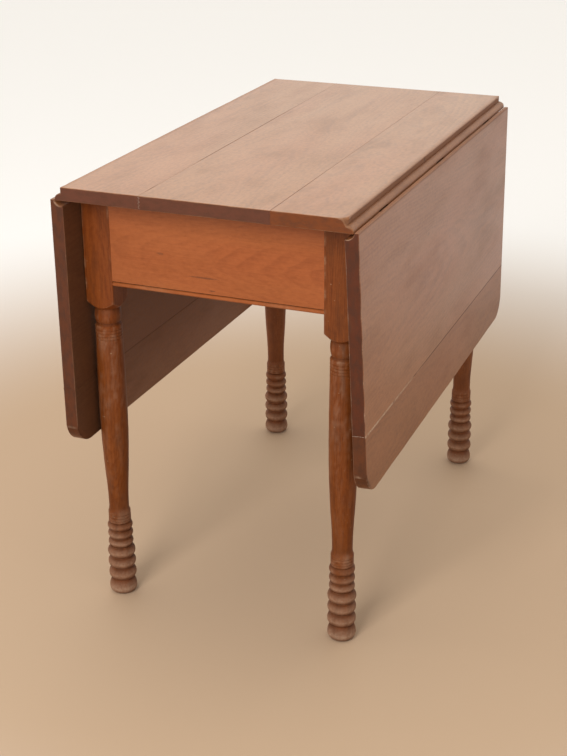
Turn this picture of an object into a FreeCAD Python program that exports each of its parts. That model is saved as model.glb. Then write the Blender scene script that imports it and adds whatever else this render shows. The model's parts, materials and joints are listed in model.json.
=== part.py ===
"""A drop-leaf table: a fixed top on four turned legs, two leaves on rule joints, and the swinging
wooden brackets that carry the leaves when they are raised.

Millimetres, +Z up. The origin is on the floor under the middle of the top, X runs across the table
to the right leaf and Y runs along it to the back end.
"""
import FreeCAD, Part
import math
import os
from types import SimpleNamespace

import Sketcher
from FreeCAD import Placement, Rotation, Vector

SIZES = {
    # the whole table
    "table_height": 725,
    "top_length": 834,
    "top_face_width": 452,
    "board_thick": 21,
    "left_board_width": 140,
    "right_board_width": 124,
    # the rule joint between top and leaf
    "fillet_depth": 8,
    "rule_joint_gap": 1,
    # the leaves
    "leaf_width": 409,
    "leaf_strip_width": 100,
    "leaf_corner_radius": 42,
    "right_leaf_lean": 1.5,
    # the leg blocks and where they stand
    "leg_block": 48,
    "leg_block_length": 188,
    "leg_leaf_gap": 0.8,
    "end_overhang": 50,
    # the turned legs, from the floor up
    "foot_height": 22,
    "foot_widest_height": 8.5,
    "foot_base_radius": 17,
    "foot_radius": 23.2,
    "base_ring_height": 24,
    "large_ring_height": 20.3,
    "large_ring_radius": 23.2,
    "large_groove_radius": 19.6,
    "small_ring_height": 15.2,
    "small_ring_radius": 20.8,
    "small_groove_radius": 17.9,
    "collar_height": 21,
    "collar_radius": 18.5,
    "collar_scribe_height": 3,
    "waist_height": 9,
    "waist_radius": 16.4,
    "belly_radius": 22.7,
    "band_height": 26,
    "band_radius": 21.4,
    "band_scribe_height": 4,
    "scribe_pitch": 5.2,
    "scribe_width": 1.5,
    "scribe_depth": 0.8,
    "shoulder_height": 2,
    "neck_groove_height": 3.5,
    "neck_groove_radius": 18.9,
    "neck_height": 24,
    "neck_end_radius": 19.8,
    "neck_radius": 21.2,
    # the end rails, with a bead along the bottom edge
    "rail_height": 145,
    "end_rail_thick": 22,
    "end_rail_setback": 1,
    "bead_radius": 3.4,
    "quirk_width": 1.5,
    # tenons of all rails
    "tenon_thick": 9,
    "tenon_length": 28,
    "tenon_shoulder": 14,
    "tenon_gap": 3,
    "mortise_clearance": 0.1,
    # the side rails and the fly rails on them
    "side_rail_thick": 18,
    "fly_setback": 10,
    "fly_thick": 18,
    "fly_height": 100,
    "fly_block_length": 204,
    "fly_side_clearance": 0.5,
    "fly_top_clearance": 0.6,
    "fly_tip_clearance": 4,
    "fly_tip_height": 44,
    "fly_heel_length": 34,
    "fly_scoop_radius": 170,
    "finger_clearance": 0.4,
    "fly_pin_radius": 2.5,
    "fly_pin_clearance": 0.08,
    # the table hinges
    "hinge_end_distance": 132,
    "hinge_width": 38,
    "hinge_top_length": 36,
    "hinge_leaf_length": 54,
    "hinge_plate_thick": 2,
    "hinge_knuckle_radius": 3,
    "hinge_knuckle_gap": 0.4,
    "hinge_pin_radius": 1.5,
    "hinge_pin_clearance": 0.05,
    "hinge_recess_clearance": 0.2,
    "barrel_clearance": 0.5,
    # wood screws
    "screw_head_radius": 3.4,
    "screw_head_height": 1.7,
    "screw_shank_radius": 1.7,
    "screw_slot_width": 0.8,
    "screw_slot_depth": 0.7,
    "screw_hole_clearance": 0.05,
    "hinge_screw_length": 14,
    "fly_screw_length": 30,
    "fly_screw_spacing": 110,
    # glue blocks under the top
    "glue_block_length": 70,
    "glue_block_side": 22,
    "glue_block_bevel": 7,
    "side_glue_block_spacing": 200,
    "end_glue_block_spacing": 170,
    # how far a cut runs past the face that it opens
    "overrun": 2,
}

# places along a piece, as shares of its own length
BELLY_HEIGHT_SHARE = 0.565
WAIST_CURVE_SHARE = 0.27
TOP_PLATE_SCREW_SHARES = ((0.38, -0.3), (0.38, 0.3), (0.78, 0.0))
LEAF_PLATE_SCREW_SHARES = ((0.42, -0.3), (0.42, 0.3), (0.82, 0.0))

FINGERS = 5
COLLAR_SCRIBES = 2
BAND_SCRIBES = 4
SIDES = {"right": 0, "left": 180}
HINGES = {-1: "front", 0: "middle", 1: "back"}

UPRIGHT = Rotation()
HALF_TURN = Rotation(Vector(0, 0, 1), 180)
ALONG_Y = Rotation(Vector(1, 0, 0), -90)


class Size:
    """A number together with the spreadsheet formula that it comes from."""

    def __init__(self, value, formula):
        self.value = float(value)
        self.formula = formula

    def join(self, sign, other, value):
        return Size(value, f"({self.formula} {sign} {other.formula})")

    def __add__(self, other):
        other = as_size(other)
        return self.join("+", other, self.value + other.value)

    def __sub__(self, other):
        other = as_size(other)
        return self.join("-", other, self.value - other.value)

    def __mul__(self, other):
        other = as_size(other)
        return self.join("*", other, self.value * other.value)

    def __truediv__(self, other):
        other = as_size(other)
        return self.join("/", other, self.value / other.value)

    def __rsub__(self, other):
        return as_size(other) - self

    def __neg__(self):
        return Size(-self.value, f"(0 - {self.formula})")

    __radd__ = __add__
    __rmul__ = __mul__


def as_size(number):
    if isinstance(number, Size):
        return number
    return Size(number, repr(float(number)))


def root(area):
    return Size(math.sqrt(area.value), f"sqrt({area.formula})")


def bow_radius(rise, half_chord):
    """Radius of the arc that rises by rise over a chord of twice half_chord."""
    return (rise * rise + half_chord * half_chord) / (rise * 2)


doc = FreeCAD.newDocument("DropLeafTable")
sheet = doc.addObject("Spreadsheet::Sheet", "Sizes")
for row, (name, number) in enumerate(SIZES.items(), start=1):
    sheet.set(f"A{row}", name)
    sheet.set(f"B{row}", str(number))
    sheet.setAlias(f"B{row}", name)
doc.recompute()
size = SimpleNamespace(**{name: Size(number, f"Sizes.{name}") for name, number in SIZES.items()})

# the places that several pieces share
hinge_drop = size.hinge_knuckle_radius
ovolo_radius = size.board_thick - size.fillet_depth - hinge_drop
cove_radius = ovolo_radius + size.rule_joint_gap
underside = size.table_height - size.board_thick
hinge_x = size.top_face_width / 2
hinge_z = underside + hinge_drop
top_edge_x = hinge_x + ovolo_radius
leaf_edge = size.leaf_width + size.rule_joint_gap
leaf_seam = leaf_edge - size.leaf_strip_width
side_face_x = hinge_x - hinge_drop - size.leg_leaf_gap
end_face_y = size.top_length / 2 - size.end_overhang
leg_x = side_face_x - size.leg_block / 2
leg_y = end_face_y - size.leg_block / 2
block_inner_x = side_face_x - size.leg_block
block_inner_y = end_face_y - size.leg_block
rail_bottom = underside - size.rail_height
fly_x = side_face_x - size.fly_setback - size.fly_thick / 2
side_rail_face_x = fly_x - size.fly_thick / 2
side_rail_back_x = side_rail_face_x - size.side_rail_thick
end_rail_face_y = end_face_y - size.end_rail_setback
fly_pin_y = size.fly_block_length / 2
fly_bottom = underside - size.fly_height
knuckle_radius = size.fly_thick / 2
fly_shoulder = knuckle_radius + size.finger_clearance
side_tenon_length = (
    size.leg_block - size.end_rail_setback - (size.end_rail_thick + size.tenon_thick) / 2 - size.tenon_gap
)


def bind(thing, **lengths):
    for name, length in lengths.items():
        thing.setExpression(name, as_size(length).formula)


def place(thing, x=0, y=0, z=0, turn=UPRIGHT):
    """Turns a piece, then ties each coordinate of its place to the sheet."""
    thing.Placement = Placement(Vector(0, 0, 0), turn)
    for axis, length in zip("xyz", (x, y, z)):
        thing.setExpression(f"Placement.Base.{axis}", as_size(length).formula)


def new_body(label):
    return doc.addObject("PartDesign::Body", label)


def origin_part(body, role):
    return next(part for part in body.Origin.OriginFeatures if part.Role == role)


def box(body, kind, name, corner, span):
    """Adds or cuts a box in a body, from its lowest corner."""
    feature = body.newObject(f"PartDesign::{kind}Box", name)
    bind(feature, Length=span[0], Width=span[1], Height=span[2])
    place(feature, *corner)
    return feature


def rod(body, kind, name, start, radius, length, turn=UPRIGHT):
    """Adds or cuts a round bar in a body, from the middle of its first end."""
    feature = body.newObject(f"PartDesign::{kind}Cylinder", name)
    bind(feature, Radius=radius, Height=length)
    place(feature, *start, turn)
    return feature


def cut_cone(body, name, start, first_radius, last_radius, length):
    feature = body.newObject("PartDesign::SubtractiveCone", name)
    bind(feature, Radius1=first_radius, Radius2=last_radius, Height=length)
    place(feature, *start)
    return feature


class Outline:
    """A closed sketch walked corner by corner, with every corner and radius tied to the sheet."""

    def __init__(self, body, name, role, start):
        self.sketch = body.newObject("Sketcher::SketchObject", name)
        self.sketch.AttachmentSupport = (origin_part(body, role), [""])
        self.sketch.MapMode = "FlatFace"
        self.corners = [start]
        self.bends = []

    def line(self, *corners):
        for corner in corners:
            self.corners.append(corner)
            self.bends.append(None)
        return self

    def arc(self, corner, radius, turn):
        """A stretch under half a circle: turn is 1 to bend left along the walk and -1 to bend right."""
        self.corners.append(corner)
        self.bends.append((radius, turn))
        return self

    def close(self):
        self.bends.append(None)
        count = len(self.corners)
        points = [Vector(as_size(u).value, as_size(v).value, 0) for u, v in self.corners]
        ends = []
        for step, bend in enumerate(self.bends):
            first, last = points[step], points[(step + 1) % count]
            ends.append(self.add_stretch(first, last, bend))
        for step in range(count):
            after = (step + 1) % count
            self.sketch.addConstraint(
                Sketcher.Constraint("Coincident", step, ends[step][1], after, ends[after][0])
            )
        for step, corner in enumerate(self.corners):
            for axis, length in zip("XY", corner):
                self.hold(f"Distance{axis}", (-1, 1, step, ends[step][0]), length, f"corner{step}{axis}")
        for step, bend in enumerate(self.bends):
            if bend:
                self.hold("Radius", (step,), bend[0], f"radius{step}")
        return self.sketch

    def add_stretch(self, first, last, bend):
        """Draws one line or arc and returns the sketch's numbers for its first and last points."""
        if bend is None:
            self.sketch.addGeometry(Part.LineSegment(first, last), False)
            return 1, 2
        radius, turn = bend[0].value, bend[1]
        chord = last - first
        left = Vector(-chord.y, chord.x, 0).normalize()
        reach = math.sqrt(max(radius * radius - chord.Length * chord.Length / 4, 0))
        centre = (first + last) / 2 + left * (turn * reach)
        middle = centre - left * (turn * radius)
        self.sketch.addGeometry(Part.Arc(first, middle, last), False)
        return (1, 2) if turn > 0 else (2, 1)

    def hold(self, kind, targets, length, name):
        length = as_size(length)
        index = self.sketch.addConstraint(Sketcher.Constraint(kind, *targets, length.value))
        self.sketch.renameConstraint(index, name)
        self.sketch.setExpression(f"Constraints.{name}", length.formula)


def pad(body, sketch, length, centred=True):
    feature = body.newObject("PartDesign::Pad", "thickness")
    feature.Profile = sketch
    feature.Midplane = centred
    bind(feature, Length=length)
    return feature


def spin(body, kind, sketch, name):
    """Turns an outline round the upright axis, adding wood (Revolution) or cutting it (Groove)."""
    feature = body.newObject(f"PartDesign::{kind}", name)
    feature.Profile = sketch
    feature.ReferenceAxis = (sketch, ["V_Axis"])
    feature.Angle = 360
    return feature


def hinge_places():
    """The three hinges of a side: where they stand along the leaf, and the sign of that place."""
    for sign in HINGES:
        yield sign, (size.top_length / 2 - size.hinge_end_distance) * sign


def plate_screw_places(shares, length):
    """Where the screws of a hinge plate stand: the distance from the hinge pin, and along it."""
    for out_share, along_share in shares:
        yield length * out_share, size.hinge_width * along_share


def pilot_holes(body, name, direction, shares, length, along, floor):
    """Holes for a hinge plate's screws, driven upwards from the plate's bottom face."""
    for number, (out, aside) in enumerate(plate_screw_places(shares, length)):
        start = (direction[0] + direction[1] * out, along + aside, floor)
        rod(body, "Subtractive", f"{name}_{number}", start,
            size.screw_shank_radius + size.screw_hole_clearance,
            size.hinge_screw_length + size.screw_hole_clearance)


def top_edge_board(label, width, turn):
    """An outer board of the top, with the rounded half of the rule joint along its edge."""
    body = new_body(label)
    seam_x = top_edge_x - width
    outline = Outline(body, "section", "XZ_Plane", (seam_x, 0))
    outline.line((top_edge_x, 0), (top_edge_x, hinge_drop))
    outline.arc((hinge_x, hinge_drop + ovolo_radius), ovolo_radius, 1)
    outline.line((hinge_x, size.board_thick), (seam_x, size.board_thick))
    pad(body, outline.close(), size.top_length)
    recess_width = size.hinge_width + size.hinge_recess_clearance * 2
    plate_x = hinge_x - size.hinge_top_length - size.hinge_recess_clearance
    barrel_x = hinge_x - hinge_drop - size.barrel_clearance
    barrel_end_x = hinge_x + hinge_drop + size.barrel_clearance
    for sign, along in hinge_places():
        side_y = along - recess_width / 2
        tag = HINGES[sign]
        box(body, "Subtractive", f"plate_recess_{tag}", (plate_x, side_y, -size.overrun),
            (barrel_x - plate_x, recess_width, size.hinge_plate_thick + size.overrun))
        box(body, "Subtractive", f"barrel_recess_{tag}", (barrel_x, side_y, -size.overrun),
            (barrel_end_x - barrel_x, recess_width, hinge_drop * 2 + size.barrel_clearance + size.overrun))
        box(body, "Subtractive", f"swing_recess_{tag}", (barrel_end_x, side_y, -size.overrun),
            (top_edge_x - barrel_end_x + size.overrun, recess_width,
             size.hinge_plate_thick + size.barrel_clearance + size.overrun))
        pilot_holes(body, f"pilot_{tag}", (hinge_x, -1), TOP_PLATE_SCREW_SHARES, size.hinge_top_length,
                    along, 0)
    place(body, 0, 0, underside, turn)
    return body


def top_middle_board(label):
    body = new_body(label)
    left_x = size.left_board_width - top_edge_x
    right_x = top_edge_x - size.right_board_width
    box(body, "Additive", "board", (left_x, -size.top_length / 2, 0),
        (right_x - left_x, size.top_length, size.board_thick))
    place(body, 0, 0, underside)
    return body


def hang(thing, angle, lean):
    """Hangs a leaf piece, drawn raised and with the hinge line as its Y axis, down a side of the table."""
    facing = Rotation(Vector(0, 0, 1), angle)
    side_x = hinge_x if angle == 0 else -hinge_x
    drop = 90 - lean.value
    place(thing, side_x, 0, hinge_z, facing.multiply(Rotation(Vector(0, 1, 0), drop)))


def leaf_inner_board(label, angle, lean):
    """The wide board of a leaf, with the hollow half of the rule joint."""
    body = new_body(label)
    cove_top = root(cove_radius * cove_radius - size.rule_joint_gap * size.rule_joint_gap)
    face = size.board_thick - hinge_drop
    outline = Outline(body, "section", "XZ_Plane", (cove_radius, -hinge_drop))
    outline.line((leaf_seam, -hinge_drop), (leaf_seam, face), (size.rule_joint_gap, face),
                 (size.rule_joint_gap, cove_top))
    outline.arc((cove_radius, 0), cove_radius, -1)
    pad(body, outline.close(), size.top_length)
    recess_width = size.hinge_width + size.hinge_recess_clearance * 2
    recess_x = cove_radius - size.overrun
    recess_end = size.hinge_leaf_length + size.hinge_recess_clearance
    for sign, along in hinge_places():
        tag = HINGES[sign]
        box(body, "Subtractive", f"plate_recess_{tag}",
            (recess_x, along - recess_width / 2, -hinge_drop - size.overrun),
            (recess_end - recess_x, recess_width, size.hinge_plate_thick + size.overrun))
        pilot_holes(body, f"pilot_{tag}", (0, 1), LEAF_PLATE_SCREW_SHARES, size.hinge_leaf_length,
                    along, -hinge_drop)
    hang(body, angle, lean)
    return body


def leaf_outer_board(label, angle, lean):
    """The narrow board along the free edge of a leaf, with its two rounded corners."""
    body = new_body(label)
    end = size.top_length / 2
    bend = size.leaf_corner_radius
    outline = Outline(body, "plan", "XY_Plane", (leaf_seam, -end))
    outline.line((leaf_edge - bend, -end)).arc((leaf_edge, bend - end), bend, 1)
    outline.line((leaf_edge, end - bend)).arc((leaf_edge - bend, end), bend, 1)
    outline.line((leaf_seam, end))
    sketch = outline.close()
    sketch.setExpression("AttachmentOffset.Base.z", (-hinge_drop).formula)
    pad(body, sketch, size.board_thick, centred=False)
    hang(body, angle, lean)
    return body


def leg_outline(body, block_floor):
    """Half the section of the turned part of a leg, from the floor to the block."""
    outline = Outline(body, "turning", "XZ_Plane", (0, 0))
    outline.line((size.foot_base_radius, 0))
    foot_rise = size.foot_radius - size.foot_base_radius
    outline.arc((size.foot_radius, size.foot_widest_height), bow_radius(foot_rise, size.foot_widest_height), 1)
    foot_fall = size.foot_radius - size.large_groove_radius
    foot_reach = size.foot_height - size.foot_widest_height
    outline.arc((size.large_groove_radius, size.foot_height), bow_radius(foot_fall, foot_reach), 1)
    level = size.foot_height
    for height in (size.base_ring_height, size.large_ring_height, size.large_ring_height):
        level = level + height
        rise = size.large_ring_radius - size.large_groove_radius
        outline.arc((size.large_groove_radius, level), bow_radius(rise, height / 2), 1)
    outline.line((size.small_groove_radius, level))
    for _ in range(3):
        level = level + size.small_ring_height
        rise = size.small_ring_radius - size.small_groove_radius
        outline.arc((size.small_groove_radius, level), bow_radius(rise, size.small_ring_height / 2), 1)
    outline.line((size.collar_radius, level))
    scribes(outline, size.collar_radius, level + size.collar_scribe_height, COLLAR_SCRIBES)
    level = level + size.collar_height
    outline.line((size.collar_radius, level))
    waist = level + size.waist_height
    outline.arc((size.waist_radius, waist),
                bow_radius(size.collar_radius - size.waist_radius, size.waist_height), -1)
    shaft_top = (
        block_floor - size.neck_height - size.neck_groove_height - size.shoulder_height
    )
    band = shaft_top - size.band_height
    shaft_lines(outline, waist, band, shaft_top)
    scribes(outline, size.band_radius, band + size.band_scribe_height, BAND_SCRIBES)
    outline.line((size.band_radius, shaft_top), (size.neck_groove_radius, shaft_top + size.shoulder_height))
    outline.line((size.neck_groove_radius, block_floor - size.neck_height),
                 (size.neck_end_radius, block_floor - size.neck_height))
    neck_rise = size.neck_radius - size.neck_end_radius
    outline.arc((size.neck_end_radius, block_floor), bow_radius(neck_rise, size.neck_height / 2), 1)
    outline.line((0, block_floor))
    return outline.close()


def shaft_lines(outline, waist, band, shaft_top):
    """The long swelling of the shaft: a hollow curve out of the waist, then a full one over the belly."""
    belly = waist + (shaft_top - waist) * BELLY_HEIGHT_SHARE
    swell = size.belly_radius - size.waist_radius
    hollow_rise = swell * WAIST_CURVE_SHARE
    hollow_reach = (belly - waist) * WAIST_CURVE_SHARE
    outline.arc((size.waist_radius + hollow_rise, waist + hollow_reach),
                bow_radius(hollow_rise, hollow_reach), -1)
    outline.arc((size.belly_radius, belly), bow_radius(swell - hollow_rise, belly - waist - hollow_reach), 1)
    outline.arc((size.band_radius, band), bow_radius(size.belly_radius - size.band_radius, band - belly), 1)


def scribes(outline, radius, first, count):
    """Fine turned lines, cut one above the other into a straight stretch."""
    for number in range(count):
        middle = first + size.scribe_pitch * number
        outline.line((radius, middle - size.scribe_width / 2), (radius - size.scribe_depth, middle),
                     (radius, middle + size.scribe_width / 2))


def leg(label, side, end):
    """A turned leg: side is 1 on the right and -1 on the left, end is 1 at the back and -1 in front."""
    body = new_body(label)
    block_floor = underside - size.leg_block_length
    half = size.leg_block / 2
    spin(body, "Revolution", leg_outline(body, block_floor), "turned_shaft")
    box(body, "Additive", "block", (-half, -half, block_floor),
        (size.leg_block, size.leg_block, size.leg_block_length))
    corner_reach = half * root(as_size(2)) + size.overrun
    bevel = Outline(body, "bevel", "XZ_Plane", (size.neck_end_radius, block_floor))
    bevel.line((corner_reach, block_floor), (corner_reach, block_floor + corner_reach - size.neck_end_radius))
    spin(body, "Groove", bevel.close(), "turned_bevel")
    room = size.mortise_clearance
    mortise_height = size.rail_height - size.tenon_shoulder * 2 + room * 2
    mortise_floor = rail_bottom + size.tenon_shoulder - room
    mortise_width = size.tenon_thick + room * 2
    end_y = half - size.end_rail_setback - (size.end_rail_thick + size.tenon_thick) / 2 - room
    depth = size.tenon_length + room
    box(body, "Subtractive", "end_rail_mortise",
        (-half - size.overrun if side > 0 else half - depth,
         end_y if end > 0 else -end_y - mortise_width, mortise_floor),
        (depth + size.overrun, mortise_width, mortise_height))
    side_x = side_rail_face_x - (size.side_rail_thick + size.tenon_thick) / 2 - room - leg_x
    depth = side_tenon_length + room
    box(body, "Subtractive", "side_rail_mortise",
        (side_x if side > 0 else -side_x - mortise_width,
         -half - size.overrun if end > 0 else half - depth, mortise_floor),
        (mortise_width, depth + size.overrun, mortise_height))
    place(body, leg_x * side, leg_y * end, 0)
    return body


def end_rail(label, turn, end):
    """A rail across an end of the table, with a bead along its lower edge and a tenon at each end."""
    body = new_body(label)
    bead = size.bead_radius
    quirk_top = bead * 2 + size.quirk_width
    outline = Outline(body, "section", "YZ_Plane", (size.end_rail_thick, 0))
    outline.line((size.end_rail_thick, size.rail_height), (0, size.rail_height), (0, quirk_top),
                 (bead, quirk_top), (bead, bead * 2))
    outline.arc((0, bead), bead, 1).arc((bead, 0), bead, 1)
    pad(body, outline.close(), block_inner_x * 2)
    tenon_height = size.rail_height - size.tenon_shoulder * 2
    tenon_y = (size.end_rail_thick - size.tenon_thick) / 2
    for name, start in (("right_tenon", block_inner_x), ("left_tenon", -block_inner_x - size.tenon_length)):
        box(body, "Additive", name, (start, tenon_y, size.tenon_shoulder),
            (size.tenon_length, size.tenon_thick, tenon_height))
    place(body, 0, end_rail_face_y * end, rail_bottom, turn)
    return body


def side_rail(label, turn):
    """A rail along a side, with a tenon at each end and holes for the screws of the fly block."""
    body = new_body(label)
    box(body, "Additive", "rail", (side_rail_back_x, -block_inner_y, rail_bottom),
        (size.side_rail_thick, block_inner_y * 2, size.rail_height))
    tenon_height = size.rail_height - size.tenon_shoulder * 2
    tenon_x = side_rail_face_x - (size.side_rail_thick + size.tenon_thick) / 2
    for name, start in (("back_tenon", block_inner_y), ("front_tenon", -block_inner_y - side_tenon_length)):
        box(body, "Additive", name, (tenon_x, start, rail_bottom + size.tenon_shoulder),
            (size.tenon_thick, side_tenon_length, tenon_height))
    for number, along in enumerate(fly_screw_places()):
        middle = fly_bottom + size.fly_height / 2
        shank = size.screw_shank_radius + size.screw_hole_clearance
        across = Rotation(Vector(0, 1, 0), 90)
        rod(body, "Subtractive", f"screw_hole_{number}", (side_rail_back_x - size.overrun, along, middle), shank,
            size.side_rail_thick + size.overrun * 2, across)
        sink = body.newObject("PartDesign::SubtractiveCone", f"countersink_{number}")
        bind(sink, Radius1=size.screw_head_radius + size.screw_hole_clearance, Radius2=shank,
             Height=size.screw_head_height)
        place(sink, side_rail_back_x, along, middle, across)
    place(body, 0, 0, 0, turn)
    return body


def fly_screw_places():
    return (-size.fly_screw_spacing / 2, size.fly_screw_spacing / 2)


def fingers(body, first, towards, half_thick, trim):
    """The knuckles at an end of a fly piece, every other one of the stack, round the pin."""
    finger_height = size.fly_height / FINGERS
    for number in range(first, FINGERS, 2):
        floor = finger_height * number + trim
        tall = finger_height - trim * 2
        reach = fly_shoulder + size.overrun
        pin_y, inner_y = towards
        start_y = pin_y if inner_y > 0 else pin_y - reach
        tag = f"{number}_{'back' if inner_y > 0 else 'front'}"
        box(body, "Additive", f"finger_root_{tag}", (-half_thick, start_y, floor), (half_thick * 2, reach, tall))
        rod(body, "Additive", f"finger_{tag}", (0, pin_y, floor), half_thick, tall)


def pin_hole(body, name, pin_y):
    rod(body, "Subtractive", name, (0, pin_y, -size.overrun), size.fly_pin_radius + size.fly_pin_clearance,
        size.fly_height + size.overrun * 2)


def fly_block(label, turn, side):
    """The fixed middle of a fly rail, with fingers at both ends for the two brackets."""
    body = new_body(label)
    half = size.fly_block_length / 2 - fly_shoulder
    box(body, "Additive", "block", (-knuckle_radius, -half, 0), (size.fly_thick, half * 2, size.fly_height))
    for towards in ((fly_pin_y, -1), (-fly_pin_y, 1)):
        fingers(body, 0, towards, knuckle_radius, as_size(0))
    pin_hole(body, "back_pin_hole", fly_pin_y)
    pin_hole(body, "front_pin_hole", -fly_pin_y)
    into_block = size.fly_screw_length - size.side_rail_thick
    for number, along in enumerate(fly_screw_places()):
        rod(body, "Subtractive", f"pilot_{number}", (-knuckle_radius, along, size.fly_height / 2),
            size.screw_shank_radius + size.screw_hole_clearance, into_block + size.screw_hole_clearance,
            Rotation(Vector(0, 1, 0), 90))
    place(body, fly_x * side, 0, fly_bottom, turn)
    return body


def fly_bracket(label, side, end):
    """A swinging bracket: fingers round its pin, and a lower edge that scoops up to the tip."""
    body = new_body(label)
    half_thick = knuckle_radius - size.fly_side_clearance
    tip_y = block_inner_y - size.fly_tip_clearance - fly_pin_y
    top = size.fly_height - size.fly_top_clearance
    outline = Outline(body, "side_view", "YZ_Plane", (fly_shoulder, 0))
    outline.line((fly_shoulder + size.fly_heel_length, 0))
    outline.arc((tip_y, top - size.fly_tip_height), size.fly_scoop_radius, -1)
    outline.line((tip_y, top), (fly_shoulder, top))
    pad(body, outline.close(), half_thick * 2)
    fingers(body, 1, (as_size(0), 1), half_thick, size.finger_clearance)
    pin_hole(body, "pin_hole", 0)
    place(body, fly_x * side, fly_pin_y * end, fly_bottom, UPRIGHT if end > 0 else HALF_TURN)
    return body


def fly_pin(label, side, end):
    pin = doc.addObject("Part::Cylinder", label)
    bind(pin, Radius=size.fly_pin_radius, Height=size.fly_height)
    place(pin, fly_x * side, fly_pin_y * end, fly_bottom)
    return pin


def hinge_plate(label, length, direction, knuckles, shares):
    """A plate of a hinge, drawn raised with the pin as its Y axis: direction is its way out along X."""
    body = new_body(label)
    edge = hinge_drop + size.hinge_knuckle_gap
    half = size.hinge_width / 2
    third = size.hinge_width / 3
    floor = -hinge_drop
    box(body, "Additive", "plate", (edge if direction > 0 else -length, -half, floor),
        (length - edge, size.hinge_width, size.hinge_plate_thick))
    for number in knuckles:
        low_gap = size.hinge_knuckle_gap / 2 if number > 0 else as_size(0)
        high_gap = size.hinge_knuckle_gap / 2 if number < 2 else as_size(0)
        start = third * number - half + low_gap
        span = third - low_gap - high_gap
        reach = edge + size.hinge_knuckle_gap
        box(body, "Additive", f"neck_{number}", (0 if direction > 0 else -reach, start, floor),
            (reach, span, size.hinge_plate_thick))
        rod(body, "Additive", f"knuckle_{number}", (0, start, 0), hinge_drop, span, ALONG_Y)
    rod(body, "Subtractive", "pin_hole", (0, -half - size.overrun, 0),
        size.hinge_pin_radius + size.hinge_pin_clearance, size.hinge_width + size.overrun * 2, ALONG_Y)
    for number, (out, aside) in enumerate(plate_screw_places(shares, length)):
        start = (out * direction, aside, floor)
        shank = size.screw_shank_radius + size.screw_hole_clearance
        rod(body, "Subtractive", f"screw_hole_{number}", start, shank, size.hinge_plate_thick + size.overrun)
        cut_cone(body, f"countersink_{number}", start, size.screw_head_radius + size.screw_hole_clearance, shank,
                 size.screw_head_height)
    return body


def screw(name, length):
    """A slotted wood screw, head down at the origin, with its shank up along Z."""
    shank = doc.addObject("Part::Cylinder", f"{name}_shank")
    bind(shank, Radius=size.screw_shank_radius, Height=length)
    head = doc.addObject("Part::Cone", f"{name}_head")
    bind(head, Radius1=size.screw_head_radius, Radius2=size.screw_shank_radius, Height=size.screw_head_height)
    blank = doc.addObject("Part::Fuse", f"{name}_blank")
    blank.Base, blank.Tool = shank, head
    slot = doc.addObject("Part::Box", f"{name}_slot")
    slot_length = size.screw_head_radius * 2 + size.overrun
    bind(slot, Length=slot_length, Width=size.screw_slot_width, Height=size.screw_slot_depth)
    place(slot, -slot_length / 2, -size.screw_slot_width / 2, 0)
    whole = doc.addObject("Part::Cut", name)
    whole.Base, whole.Tool = blank, slot
    return whole


def copy_of(original, x, y, z, turn=UPRIGHT):
    link = doc.addObject("App::Link", f"{original.Name}_copy")
    link.LinkedObject = original
    place(link, x, y, z, turn)
    return link


def group(label, members):
    compound = doc.addObject("Part::Compound", label)
    compound.Links = members
    return compound


def glue_block():
    """A rubbed glue block, drawn in the corner at the origin, with the top above it."""
    body = new_body("glue_block_pattern")
    side, bevel = size.glue_block_side, size.glue_block_bevel
    outline = Outline(body, "section", "XZ_Plane", (0, 0))
    outline.line((0, -side), (-side + bevel, -side), (-side, -side + bevel), (-side, 0))
    pad(body, outline.close(), size.glue_block_length)
    return body


def glue_blocks(label):
    pattern = glue_block()
    end_inner_y = end_rail_face_y - size.end_rail_thick
    copies = []
    for angle in SIDES.values():
        side = 1 if angle == 0 else -1
        for step in (-1, 0, 1):
            copies.append(copy_of(pattern, side_rail_back_x * side, size.side_glue_block_spacing * step,
                                  underside, Rotation(Vector(0, 0, 1), angle)))
        for step in (-1, 1):
            copies.append(copy_of(pattern, size.end_glue_block_spacing * step / 2, end_inner_y * side, underside,
                                  Rotation(Vector(0, 0, 1), 90 * side)))
    return group(label, copies)


def hinge_set(side_name, angle, lean):
    """The three hinges of a side: a plate under the top, a plate under the leaf, a pin and the screws."""
    side = 1 if angle == 0 else -1
    turn = Rotation(Vector(0, 0, 1), angle)
    drop = turn.multiply(Rotation(Vector(0, 1, 0), 90 - lean.value))
    made = []
    top_screws = []
    leaf_screws = []
    for sign, along in hinge_places():
        tag = f"{side_name}_{HINGES[sign]}_hinge"
        where = (hinge_x * side, along, hinge_z)
        top_plate = hinge_plate(f"{tag}_top_plate", size.hinge_top_length, -1, (0, 2), TOP_PLATE_SCREW_SHARES)
        place(top_plate, *where, turn)
        leaf_plate = hinge_plate(f"{tag}_leaf_plate", size.hinge_leaf_length, 1, (1,), LEAF_PLATE_SCREW_SHARES)
        place(leaf_plate, *where, drop)
        pin = doc.addObject("Part::Cylinder", f"{tag}_pin")
        bind(pin, Radius=size.hinge_pin_radius, Height=size.hinge_width)
        place(pin, hinge_x * side, along - size.hinge_width / 2, hinge_z, ALONG_Y)
        made += [top_plate, leaf_plate, pin]
        for out, aside in plate_screw_places(TOP_PLATE_SCREW_SHARES, size.hinge_top_length):
            top_screws.append(copy_of(hinge_screw, (hinge_x - out) * side, along + aside * side, underside, turn))
        for out, aside in plate_screw_places(LEAF_PLATE_SCREW_SHARES, size.hinge_leaf_length):
            leaf_screws.append(hung_screw(out, along * side + aside, angle, lean, drop))
    made.append(group(f"{side_name}_hinge_top_screws", top_screws))
    made.append(group(f"{side_name}_hinge_leaf_screws", leaf_screws))
    return made


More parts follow.
